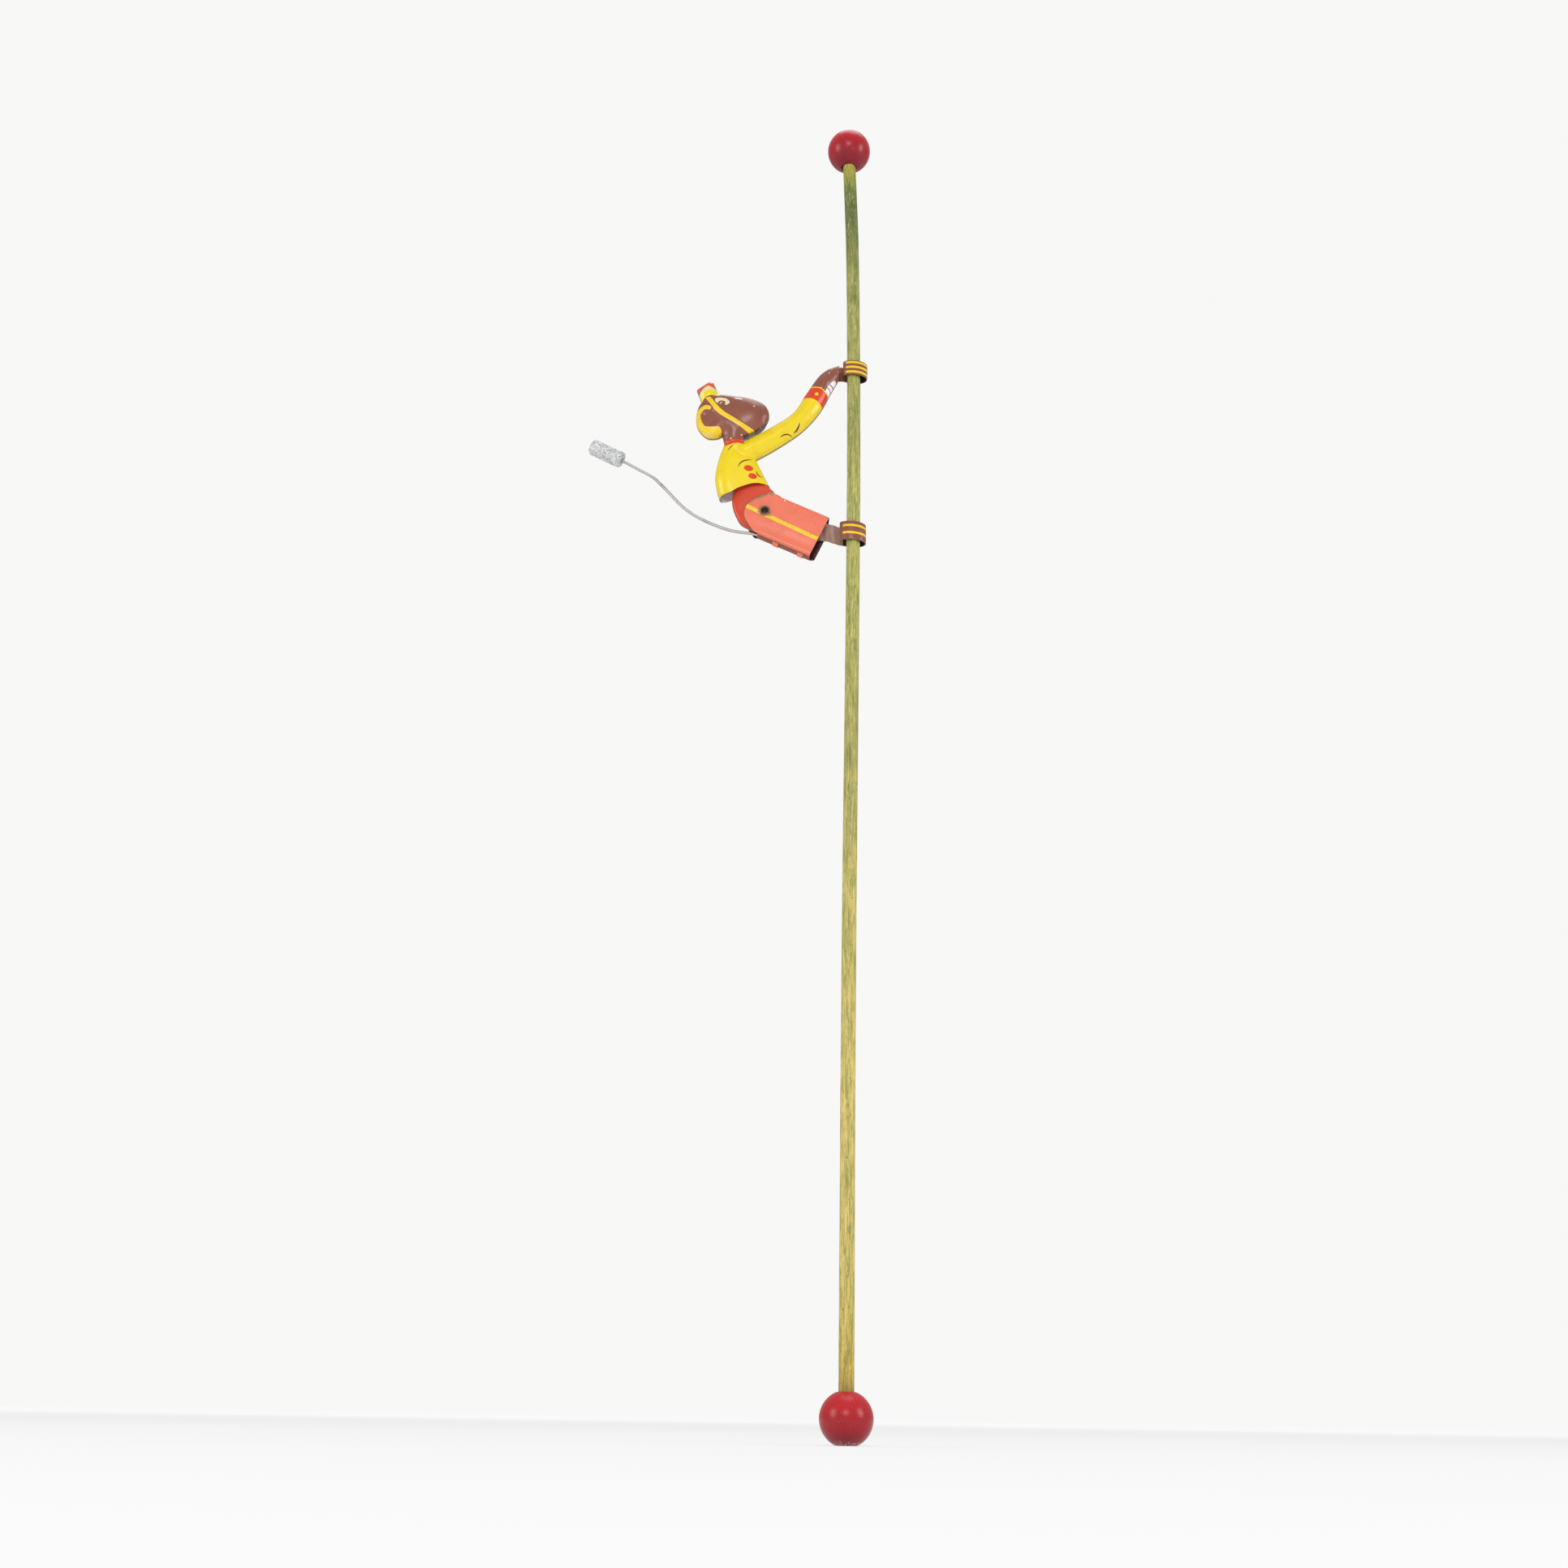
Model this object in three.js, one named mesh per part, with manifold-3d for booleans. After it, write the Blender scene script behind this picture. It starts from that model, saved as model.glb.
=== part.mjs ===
// Tin monkey that climbs down a wooden pole: a lithographed tin figure whose hand and foot straps
// ride loosely on a dowel between two wooden balls, with a weighted wire tail.
// Millimetres, +Z up. The origin is the centre of the flat on the lower ball.

import * as THREE from 'three';
import { mergeVertices } from 'three/addons/utils/BufferGeometryUtils.js';
import Module from 'manifold-3d';

const wasm = await Module();
wasm.setup();

// ---- driving dimensions -------------------------------------------------------------------

const GAP = 0.3;                 // clearance between pieces that touch on the toy

const dowelDiameter = 5;
const ballSpacing = 478;         // between the two ball centres
const topBallDiameter = 16.8;
const bottomBallDiameter = 17.1;
const baseFlatRadius = 3.4;
const dowelChamfer = 0.4;

const hipHeight = 322.6;         // hip eyelet above the base
const hipReach = 31.4;           // hip eyelet to pole axis
const tin = 0.35;                // sheet thickness

const torsoNearDepth = 3.9;      // how far each stamped half stands off the joint plane
const torsoFarDepth = 3.3;
const torsoEdgeRadius = 1.0;

const strapSlackAcross = 1.4;    // free width inside the straps beyond the dowel, front to back
const strapSlackAlong = 4.4;     // the same along the figure
const strapOffset = 1.1;         // strap centre beyond the pole axis
const handStrapHeight = 6;
const handStrapRise = 58.4;      // lower edge of the hand strap above the hip
const footStrapHeight = 7.3;
const footStrapDrop = 1.9;       // top of the foot strap below the top corner of the leg end

const seatWidth = 4;

const legTilt = THREE.MathUtils.degToRad(-24.4);
const footNeckLength = 3.6;      // bare neck between the leg end and the foot strap
const legTop = 8;
const legBottom = -9.3;

const eyeletBore = 2.3;
const eyeletWall = 0.35;
const eyeletFlange = 4;
const eyeletFlangeThickness = 0.3;

const wireDiameter = 1.15;
const weightDiameter = 6;
const weightLength = 13;
const weightTilt = THREE.MathUtils.degToRad(-26.6);
const weightRimChamfer = 0.5;
const wireSeatDepth = 7;         // how far the wire runs into the weight

// ---- materials ----------------------------------------------------------------------------

const finish = (color, roughness, metalness) => () =>
  new THREE.MeshStandardMaterial({ color, roughness, metalness });

const greenWood = finish(0x8f9a52, 0.7, 0);
const redWood = finish(0xb02e33, 0.35, 0);
const yellowTin = finish(0xf2d93a, 0.3, 0.1);
const redTin = finish(0xd9452b, 0.3, 0.1);
const brownTin = finish(0x7a4632, 0.3, 0.1);
const bareSteel = finish(0x8c8884, 0.35, 0.9);
const castLead = finish(0xa9abad, 0.6, 0.8);

// ---- helpers ------------------------------------------------------------------------------

const root = new THREE.Group();

function addPiece(parent, name, geometry, material) {
  const mesh = new THREE.Mesh(geometry, material());
  mesh.name = name;
  parent.add(mesh);
  return mesh;
}

function toSolid(geometry) {
  const bare = geometry.clone();
  bare.deleteAttribute('normal');
  bare.deleteAttribute('uv');
  const merged = mergeVertices(bare, 1e-4);
  return new wasm.Manifold(new wasm.Mesh({
    numProp: 3,
    vertProperties: Float32Array.from(merged.attributes.position.array),
    triVerts: Uint32Array.from(merged.index.array),
  }));
}

function toGeometry(solid) {
  const { vertProperties, triVerts } = solid.getMesh();
  const geometry = new THREE.BufferGeometry();
  geometry.setAttribute('position', new THREE.BufferAttribute(vertProperties, 3));
  geometry.setIndex(new THREE.BufferAttribute(triVerts, 1));
  geometry.computeVertexNormals();
  return geometry;
}

// An outline drawn in the X-Z plane, as thick as the stretch from y0 to y1.
function plate(shape, y0, y1, { edge = 0, inset = 0, curveSegments = 6 } = {}) {
  const geometry = new THREE.ExtrudeGeometry(shape, {
    depth: y1 - y0 - 2 * edge,
    bevelEnabled: edge > 0 || inset > 0,
    bevelThickness: edge,
    bevelSize: edge,
    bevelOffset: -edge - inset,
    bevelSegments: 2,
    curveSegments,
  });
  geometry.rotateX(Math.PI / 2);
  geometry.translate(0, y1 - edge, 0);
  return geometry;
}

// An outline drawn in the X-Y plane, standing from z0 to z1.
function standing(shape, z0, z1, curveSegments = 24) {
  const geometry = new THREE.ExtrudeGeometry(shape, {
    depth: z1 - z0,
    bevelEnabled: false,
    curveSegments,
  });
  geometry.translate(0, 0, z0);
  return geometry;
}

function boxBetween(x0, x1, y0, y1, z0, z1) {
  const geometry = new THREE.BoxGeometry(x1 - x0, y1 - y0, z1 - z0);
  geometry.translate((x0 + x1) / 2, (y0 + y1) / 2, (z0 + z1) / 2);
  return geometry;
}

function crossPin(diameter, length, segments = 24) {
  return new THREE.CylinderGeometry(diameter / 2, diameter / 2, length, segments);
}

const points = (pairs) => pairs.map(([x, z]) => new THREE.Vector2(x, z));

// ---- pole: dowel and two balls --------------------------------------------------------------

function ball(diameter, flatRadius) {
  const radius = diameter / 2;
  const boreRadius = dowelDiameter / 2 + GAP;
  const lowest = flatRadius > 0 ? Math.asin(flatRadius / radius) : 0;
  const highest = Math.PI - Math.asin(boreRadius / radius);
  const steps = 14;
  const profile = [];
  if (flatRadius > 0) profile.push(new THREE.Vector2(0, -radius * Math.cos(lowest)));
  for (let i = 0; i <= steps; i++) {
    const turn = lowest + (highest - lowest) * (i / steps);
    profile.push(new THREE.Vector2(radius * Math.sin(turn), -radius * Math.cos(turn)));
  }
  profile[0].x = 0;
  profile.push(new THREE.Vector2(boreRadius, -GAP), new THREE.Vector2(0, -GAP));
  const geometry = new THREE.LatheGeometry(profile, 32);
  return geometry.rotateX(Math.PI / 2);
}

const bottomBallRadius = bottomBallDiameter / 2;
const bottomBallHeight = Math.sqrt(bottomBallRadius ** 2 - baseFlatRadius ** 2);
const topBallHeight = bottomBallHeight + ballSpacing;

function dowel() {
  const r = dowelDiameter / 2;
  const profile = points([
    [0, bottomBallHeight],
    [r - dowelChamfer, bottomBallHeight],
    [r, bottomBallHeight + dowelChamfer],
    [r, topBallHeight - dowelChamfer],
    [r - dowelChamfer, topBallHeight],
    [0, topBallHeight],
  ]);
  return new THREE.LatheGeometry(profile, 32).rotateX(Math.PI / 2);
}

addPiece(root, 'pole_dowel', dowel(), greenWood);
addPiece(root, 'bottom_ball', ball(bottomBallDiameter, baseFlatRadius), redWood)
  .position.z = bottomBallHeight;
const topBall = addPiece(root, 'top_ball', ball(topBallDiameter, 0), redWood);
topBall.position.z = topBallHeight;
topBall.rotation.x = Math.PI;

// ---- figure: everything is drawn from the hip eyelet, X towards the pole --------------------

const figure = new THREE.Group();
figure.position.set(-hipReach, 0, hipHeight);
root.add(figure);

const strapClear = dowelDiameter + strapSlackAcross;
const strapReach = dowelDiameter + strapSlackAlong;
const strapCentre = hipReach + strapOffset;
const strapBack = strapCentre - strapReach / 2 - tin;      // outside of the straps, figure side
const handEnd = strapBack - GAP;
const handLow = handStrapRise - 0.6;
const handHigh = handStrapRise + handStrapHeight - 1.2;

// Side view of one stamped half: jacket, sleeve, hand, head and cap, with the hem left long.
function torsoOutline() {
  const shape = new THREE.Shape();
  shape.moveTo(3.1, 7.8);
  shape.lineTo(-3.8, 22.3);
  shape.splineThru(points([[3.7, 27.2], [13.2, 34.7], [19.7, 42.8], [24, 51.4]]));
  shape.lineTo(handEnd, handLow);
  shape.lineTo(handEnd, handHigh);
  shape.lineTo(23, handHigh - 1.6);
  shape.splineThru(points([[19.3, 58.2], [14.5, 50.3], [10.1, 42.6],
    [3.5, 37.2], [-8.2, 29.6]]));
  shape.lineTo(-8.7, 31.5);
  shape.splineThru(points([[-3.5, 34.4], [0, 38], [0.9, 42], [-1.2, 46], [-6.9, 48.5],
    [-13, 49.4], [-18.3, 50]]));
  shape.lineTo(-20.3, 54.8);
  shape.lineTo(-22.4, 55.2);
  shape.lineTo(-26.7, 51.8);
  shape.lineTo(-24.9, 46.8);
  shape.splineThru(points([[-26.5, 41.5], [-26, 35.8], [-22.3, 31.5], [-18, 31.4]]));
  shape.lineTo(-16.5, 32.4);
  shape.lineTo(-15.6, 28.4);
  shape.splineThru(points([[-17.6, 22.2], [-18.7, 14.8], [-17.8, 8.5]]));
  shape.lineTo(-15.6, 1.5);
  return shape;
}

// The region below the jacket hem.
function belowHem() {
  const shape = new THREE.Shape();
  shape.moveTo(-30, 5.4);
  shape.lineTo(-17.2, 5.4);
  shape.splineThru(points([[-12.8, 7], [-9.8, 8.9], [-5, 10.7], [-1, 11.1], [1.6, 10.9]]));
  shape.lineTo(10, 10.9);
  shape.lineTo(10, -10);
  shape.lineTo(-30, -10);
  return shape;
}

// A hollow half: the outer form less the same form inset by the sheet, cut at the joint plane.
function torsoHalf(depth, side) {
  const outline = torsoOutline();
  const options = { edge: torsoEdgeRadius, curveSegments: 3 };
  const outer = toSolid(plate(outline, -depth, depth, options));
  const inner = toSolid(plate(outline, tin - depth, depth - tin, { ...options, inset: tin }));
  const hem = toSolid(plate(belowHem(), -2 * depth, 2 * depth));
  const jointPlane = GAP / 2;
  const other = side < 0
    ? boxBetween(-60, 60, -jointPlane, 2 * depth, -30, 90)
    : boxBetween(-60, 60, -2 * depth, jointPlane, -30, 90);
  return outer.subtract(inner).subtract(hem).subtract(toSolid(other));
}

// An oval band round the pole, open at the side where its end laps onto the hand or foot.
function strapLoop(z0, z1) {
  const outerReach = strapReach / 2 + tin;
  const outerClear = strapClear / 2 + tin;
  const shape = new THREE.Shape();
  const start = THREE.MathUtils.degToRad(168);
  const end = THREE.MathUtils.degToRad(192);
  shape.absellipse(0, 0, outerReach, outerClear, start, end, true);
  shape.absellipse(0, 0, strapReach / 2, strapClear / 2, end, start, false);
  const geometry = standing(shape, z0, z1);
  geometry.translate(strapCentre, 0, 0);
  return geometry;
}

addPiece(figure, 'torso_near_shell', toGeometry(torsoHalf(torsoNearDepth, -1)), yellowTin);
addPiece(figure, 'torso_far_shell', toGeometry(torsoHalf(torsoFarDepth, 1)), yellowTin);
addPiece(figure, 'hand_strap',
  strapLoop(handStrapRise, handStrapRise + handStrapHeight), brownTin);

// ---- seat: a folded tin cheek piece fixed in the jacket, the hip eyelet passes through it ----

// The round part of the seat turns inside the trousers, just clear of the tail wire.
const wireLine = legBottom + tin;                // centre of the wire in the trouser seam
const seatSwing = -wireLine - wireDiameter / 2 - GAP;
const seatAnchor = torsoFarDepth - tin - GAP;    // half width where the seat meets the jacket

function seatOutline() {
  const shape = new THREE.Shape();
  shape.absarc(0, 0, seatSwing, THREE.MathUtils.degToRad(60),
    THREE.MathUtils.degToRad(-110), true);
  shape.splineThru(points([[-8.2, -5], [-10.3, -1.9], [-11.8, 2.1], [-12.2, 5.6], [-11.4, 10]]));
  shape.lineTo(-10.6, 13);
  shape.lineTo(-1.8, 15);
  shape.lineTo(0.9, 10.5);
  shape.lineTo(2.9, 8.6);
  return shape;
}

function seat() {
  const half = seatWidth / 2;
  const outline = seatOutline();
  const outer = toSolid(plate(outline, -half, half));
  const inner = toSolid(plate(outline, tin - half, half - tin, { inset: tin }));
  const mouth = toSolid(boxBetween(-7, 9, tin - half, half - tin, -12, 20));
  const anchor = toSolid(boxBetween(-9, -3, -seatAnchor, seatAnchor, 12.4, 12.4 + 2 * tin));
  const pinHole = toSolid(crossPin(eyeletBore + 2 * (eyeletWall + GAP), 2 * seatWidth));
  return outer.subtract(inner).subtract(mouth).add(anchor).subtract(pinHole);
}

addPiece(figure, 'seat', toGeometry(seat()), redTin);

// ---- trousers: drawn along the leg, then tilted ----------------------------------------------

const legs = new THREE.Group();
legs.rotation.y = -legTilt;
figure.add(legs);

const legHalf = seatWidth / 2 + GAP + tin;       // outer half width
const wireGroove = wireDiameter / 2 + GAP;       // half width of the seam that holds the wire
const legLength = (strapBack - footNeckLength + legTop * Math.sin(legTilt)) / Math.cos(legTilt);
const legEndTop = legTop * Math.cos(legTilt) + legLength * Math.sin(legTilt);
const footStrapRise = legEndTop - footStrapDrop - footStrapHeight;

function legOutline() {
  const shape = new THREE.Shape();
  shape.moveTo(legLength, legBottom);
  shape.lineTo(0, legBottom);
  shape.splineThru(points([[-5.4, -5.6], [-7, -1.5], [-5.8, 2.8], [-1.2, legTop]]));
  shape.lineTo(legLength, legTop);
  return shape;
}

// A folded clip that closes the seam over the wire.
function seamTab(along) {
  const half = 1.1;
  const low = wireLine - wireDiameter / 2 - GAP;
  const block = toSolid(boxBetween(along - half, along + half,
    -wireGroove - tin, wireGroove + tin, low - tin, legBottom + tin / 2));
  const channel = toSolid(boxBetween(along - 2 * half, along + 2 * half,
    -wireGroove, wireGroove, low, legBottom + tin));
  return block.subtract(channel);
}

function trousers() {
  const outline = legOutline();
  const outer = toSolid(plate(outline, -legHalf, legHalf));
  const hollow = toSolid(boxBetween(-20, legLength + 1, tin - legHalf, legHalf - tin,
    legBottom + tin, legTop - tin));
  const backTop = toSolid(boxBetween(-20, 6, tin - legHalf, legHalf - tin, 0, legTop + 1));
  const backLow = toSolid(boxBetween(-20, 3.4, tin - legHalf, legHalf - tin, legBottom - 1, 0));
  const seam = toSolid(boxBetween(-20, legLength + 1, -wireGroove, wireGroove,
    legBottom - 1, legBottom + 1));
  const pinHole = toSolid(crossPin(eyeletBore + 2 * (eyeletWall + GAP), 4 * legHalf));
  let body = outer.subtract(hollow).subtract(backTop).subtract(backLow).subtract(seam);
  for (const along of [9, 19]) body = body.add(seamTab(along));
  return body.subtract(pinHole);
}

addPiece(legs, 'trousers', toGeometry(trousers()), redTin);

// The hollow rivet: barrel with a rolled flange outside each trouser wall.
function eyelet() {
  const bore = eyeletBore / 2;
  const barrel = bore + eyeletWall;
  const face = legHalf + GAP;
  const outside = face + eyeletFlangeThickness;
  const profile = points([
    [bore, -outside], [eyeletFlange / 2, -outside], [eyeletFlange / 2, -face], [barrel, -face],
    [barrel, face], [eyeletFlange / 2, face], [eyeletFlange / 2, outside], [bore, outside],
    [bore, -outside],
  ]);
  return new THREE.LatheGeometry(profile, 28);
}

addPiece(legs, 'hip_eyelet', eyelet(), bareSteel);

// ---- foot strap: a neck out of the leg end, then the band round the pole ---------------------

function footStrap() {
  const loop = toSolid(strapLoop(footStrapRise, footStrapRise + footStrapHeight));
  const backFace = strapClear / 4 + tin;
  const neckStart = strapBack - footNeckLength - 5.6;
  const loopFill = toSolid(standing(new THREE.Shape().absellipse(0, 0,
    strapReach / 2, strapClear / 2, 0, 2 * Math.PI, false), -30, 30)
    .translate(strapCentre, 0, 0));
  const neck = toSolid(boxBetween(neckStart, strapCentre,
    backFace - tin, backFace, footStrapRise + 0.5, footStrapRise + footStrapHeight));
  return loop.add(neck.subtract(loopFill));
}

addPiece(figure, 'foot_strap', toGeometry(footStrap()), brownTin);

// ---- tail: a formed steel wire from the trouser seam to a cast weight ------------------------

const weightStart = new THREE.Vector3(-53.7, 0, 21.4);      // rim where the wire enters
const weightAlong = new THREE.Vector3(-Math.cos(weightTilt), 0, -Math.sin(weightTilt));

function seamPoint(along) {
  const c = Math.cos(legTilt);
  const s = Math.sin(legTilt);
  return new THREE.Vector3(along * c - wireLine * s, 0, along * s + wireLine * c);
}

function tailWire() {
  const inWeight = weightStart.clone().addScaledVector(weightAlong, wireSeatDepth);
  const route = [
    inWeight,
    weightStart,
    new THREE.Vector3(-47.5, 0, 17.9),
    new THREE.Vector3(-42.2, 0, 14.8),
    new THREE.Vector3(-38.3, 0, 11.1),
    new THREE.Vector3(-30.2, 0, 2.3),
    new THREE.Vector3(-22.8, 0, -2.8),
    new THREE.Vector3(-12.8, 0, -6.9),
    seamPoint(0.5),
    seamPoint(5),
    seamPoint(12),
    seamPoint(legLength - 1),
  ];
  const sides = 8;
  const section = new THREE.Shape();
  for (let i = 0; i <= sides; i++) {
    const turn = (2 * Math.PI * i) / sides;
    const x = (wireDiameter / 2) * Math.cos(turn);
    const y = (wireDiameter / 2) * Math.sin(turn);
    if (i === 0) section.moveTo(x, y);
    else if (i < sides) section.lineTo(x, y);
  }
  return new THREE.ExtrudeGeometry(section, {
    steps: 64,
    bevelEnabled: false,
    extrudePath: new THREE.CatmullRomCurve3(route, false, 'centripetal'),
  });
}

addPiece(figure, 'tail_wire', tailWire(), bareSteel);

function tailWeight() {
  const r = weightDiameter / 2;
  const hole = wireDiameter / 2 + GAP;
  const profile = points([
    [0, weightLength],
    [r - weightRimChamfer, weightLength],
    [r, weightLength - weightRimChamfer],
    [r, weightRimChamfer],
    [r - weightRimChamfer, 0],
    [hole, 0],
    [hole, wireSeatDepth + GAP],
    [0, wireSeatDepth + GAP],
  ]);
  return new THREE.LatheGeometry(profile.reverse(), 32);
}

const weight = addPiece(figure, 'tail_weight', tailWeight(), castLead);
weight.position.copy(weightStart);
weight.quaternion.setFromUnitVectors(new THREE.Vector3(0, 1, 0), weightAlong);

export default root;
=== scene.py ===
"""Tin monkey on a wooden pole: the finished toy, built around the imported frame.

A stamped and printed tin monkey in two halves hangs on a stained dowel between two lacquered
balls. Its hand band and foot band ride on the dowel, and a wire tail carries a cast weight.
Shapes are drawn in millimetres, most of them from the hip rivet, and placed in metres.
"""

import logging
import math
from collections.abc import Callable, Sequence
from dataclasses import dataclass, field
from enum import Enum

import bpy
import numpy as np
from mathutils import Matrix, Vector, noise
from mathutils.geometry import delaunay_2d_cdt


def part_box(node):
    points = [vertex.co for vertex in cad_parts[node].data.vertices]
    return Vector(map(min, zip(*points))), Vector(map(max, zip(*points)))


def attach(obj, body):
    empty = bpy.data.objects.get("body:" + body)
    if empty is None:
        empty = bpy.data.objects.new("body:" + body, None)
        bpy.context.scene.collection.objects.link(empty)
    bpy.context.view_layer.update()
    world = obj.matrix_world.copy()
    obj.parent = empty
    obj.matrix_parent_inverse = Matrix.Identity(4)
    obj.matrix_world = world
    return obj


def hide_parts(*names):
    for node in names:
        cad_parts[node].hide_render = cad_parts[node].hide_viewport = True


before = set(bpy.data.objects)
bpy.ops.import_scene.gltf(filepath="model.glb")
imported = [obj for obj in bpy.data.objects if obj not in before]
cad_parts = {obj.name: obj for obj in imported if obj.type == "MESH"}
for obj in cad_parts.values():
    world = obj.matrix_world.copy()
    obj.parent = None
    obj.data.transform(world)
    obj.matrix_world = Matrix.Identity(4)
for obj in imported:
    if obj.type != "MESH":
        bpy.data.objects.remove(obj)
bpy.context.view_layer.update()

MM = 0.001
TIN = 0.35
JOINT_GAP = 0.15
SHOULDER_DEPTHS = (0.12, 0.32, 0.65)
CLEAR_OF_EDGES = 0.45
# painted shade: the walls that turn in to the joint take the face's ink at 35 per cent
WALL_PAINTED_SHADE = (0.35, 0.35, 0.35, 1)
WALL_WEAR = 0.5
LOG = logging.getLogger("tin_monkey")

Points = Sequence[tuple[float, float]]


# ---- places taken from the frame ----------------------------------------------------------------


def centre_of(node: str) -> np.ndarray:
    """Middle of a frame node's box, in millimetres."""
    low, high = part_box(node)
    return np.array((low + high) / 2) / MM


def span_of(node: str, axis: int) -> tuple[float, float]:
    """Lowest and highest place of a frame node along one axis, in millimetres."""
    low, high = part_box(node)
    return low[axis] / MM, high[axis] / MM


HIP = centre_of("hip_eyelet")
LEG_TILT = math.radians(-24.4)
HAND_END = span_of("torso_near_shell", 0)[1] - HIP[0]


# ---- inks ---------------------------------------------------------------------------------------


class Ink(Enum):
    """Printed and painted colours, as display values from 0 to 255."""

    YELLOW = (236, 208, 12)
    GOLD = (238, 200, 30)
    PALE_YELLOW = (232, 205, 92)
    CREAM = (222, 214, 150)
    RED = (220, 62, 22)
    CORAL = (220, 86, 56)
    SEAT_RED = (208, 60, 22)
    SALMON = (232, 113, 84)
    BROWN = (138, 78, 60)
    LIGHT_BROWN = (182, 142, 126)
    DARK = (92, 56, 30)
    # SHADE: painted shade inside the bands and the rivet's bore; it also draws the scrape's dark
    # ticks
    SHADE = (52, 34, 28)
    # MAROON prints the cap's seam line, and is painted shade on the trousers', seat's and tabs'
    # insides
    MAROON = (66, 16, 18)
    OLIVE = (142, 106, 48)
    EYE_WHITE = (226, 216, 176)
    TIN = (172, 164, 166)

    @property
    def linear(self) -> tuple[float, float, float, float]:
        """The colour as the renderer counts it."""
        return linear(self.value)


def linear(rgb: Sequence[float]) -> tuple[float, float, float, float]:
    """Turns a display colour into scene-linear values.

    Args:
        rgb: Red, green and blue from 0 to 255.

    Returns:
        Linear red, green, blue and an alpha of 1.
    """
    values = [c / 255 for c in rgb]
    return (*[v / 12.92 if v <= 0.04045 else ((v + 0.055) / 1.055) ** 2.4 for v in values], 1.0)


# ---- node tree helpers --------------------------------------------------------------------------


class Nodes:
    """A node tree that grows by one node at a time."""

    tree: bpy.types.NodeTree

    def node(self, kind: str, **settings: object) -> bpy.types.Node:
        """Adds a node of one kind and gives it its settings."""
        made = self.tree.nodes.new(kind)
        for key, value in settings.items():
            setattr(made, key, value)
        return made


class Graph(Nodes):
    """A material's nodes, with short ways to add those that the finishes share."""

    def __init__(self, name: str) -> None:
        """Starts a material with one Principled shader, read through Object coordinates."""
        self.material = bpy.data.materials.new(name)
        self.material.use_nodes = True
        self.tree = self.material.node_tree
        self.tree.nodes.clear()
        output = self.node("ShaderNodeOutputMaterial")
        self.shader = self.node("ShaderNodeBsdfPrincipled")
        self.tree.links.new(self.shader.outputs[0], output.inputs["Surface"])
        self.place = self.node("ShaderNodeTexCoord").outputs["Object"]

    def feed(self, socket: bpy.types.NodeSocket, value: object) -> None:
        """Links a socket to another, or sets it to a plain value."""
        if isinstance(value, bpy.types.NodeSocket):
            self.tree.links.new(value, socket)
        else:
            socket.default_value = value

    def set(self, **values: object) -> None:
        """Sets the shader's sockets; a keyword's underscores stand for spaces."""
        for key, value in values.items():
            self.feed(self.shader.inputs[key.replace("_", " ")], value)

    def attribute(self, name: str, output: str = "Color") -> bpy.types.NodeSocket:
        """Reads an attribute of the mesh."""
        return self.node("ShaderNodeAttribute", attribute_name=name).outputs[output]

    def mapped(
        self, stretch: Sequence[float], turn: Sequence[float] = (0, 0, 0)
    ) -> bpy.types.NodeSocket:
        """Object coordinates, turned and then stretched."""
        mapping = self.node("ShaderNodeMapping", vector_type="POINT")
        self.feed(mapping.inputs["Vector"], self.place)
        mapping.inputs["Rotation"].default_value = turn
        mapping.inputs["Scale"].default_value = stretch
        return mapping.outputs[0]

    def noise(
        self,
        stretch: Sequence[float] | float,
        detail: float = 3.0,
        rough: float = 0.55,
        turn: Sequence[float] = (0, 0, 0),
        distortion: float = 0.0,
    ) -> bpy.types.NodeSocket:
        """A fractal noise.

        Args:
            stretch: Waves per metre, one number or one for each axis.
            detail: Octaves.
            rough: Strength of each octave against the last.
            turn: Turn of the pattern before it is stretched.
            distortion: Warp of the pattern.

        Returns:
            The noise's value socket, about 0.5 in the mean.
        """
        scales = (stretch,) * 3 if isinstance(stretch, (int, float)) else stretch
        texture = self.node("ShaderNodeTexNoise")
        self.feed(texture.inputs["Vector"], self.mapped(scales, turn))
        texture.inputs["Scale"].default_value = 1.0
        texture.inputs["Detail"].default_value = detail
        texture.inputs["Roughness"].default_value = rough
        texture.inputs["Distortion"].default_value = distortion
        return texture.outputs["Fac"]

    def cells(self, scale: float) -> bpy.types.NodeSocket:
        """Distance to the nearest of scattered points."""
        texture = self.node("ShaderNodeTexVoronoi")
        self.feed(texture.inputs["Vector"], self.place)
        texture.inputs["Scale"].default_value = scale
        return texture.outputs["Distance"]

    def steps(self, value: object, low: float, high: float) -> bpy.types.NodeSocket:
        """Turns a value into 0 below low, 1 above high, smooth between; low may be the larger."""
        node = self.node("ShaderNodeMapRange", interpolation_type="SMOOTHSTEP", clamp=True)
        self.feed(node.inputs[0], value)
        node.inputs[1].default_value = low
        node.inputs[2].default_value = high
        return node.outputs[0]

    def scaled(self, value: object, low: float, high: float) -> bpy.types.NodeSocket:
        """Turns a value from 0 to 1 into one from low to high."""
        node = self.node("ShaderNodeMapRange", clamp=True)
        self.feed(node.inputs[0], value)
        node.inputs[3].default_value = low
        node.inputs[4].default_value = high
        return node.outputs[0]

    def maths(self, operation: str, a: object, b: object = 0.0) -> bpy.types.NodeSocket:
        """One sum on two values."""
        node = self.node("ShaderNodeMath", operation=operation)
        self.feed(node.inputs[0], a)
        self.feed(node.inputs[1], b)
        return node.outputs[0]

    def mix(
        self, factor: object, a: object, b: object, blend: str = "MIX"
    ) -> bpy.types.NodeSocket:
        """Mixes two colours by a factor."""
        node = self.node("ShaderNodeMix", data_type="RGBA", blend_type=blend)
        self.feed(node.inputs[0], factor)
        self.feed(node.inputs[6], a)
        self.feed(node.inputs[7], b)
        return node.outputs[2]

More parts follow.
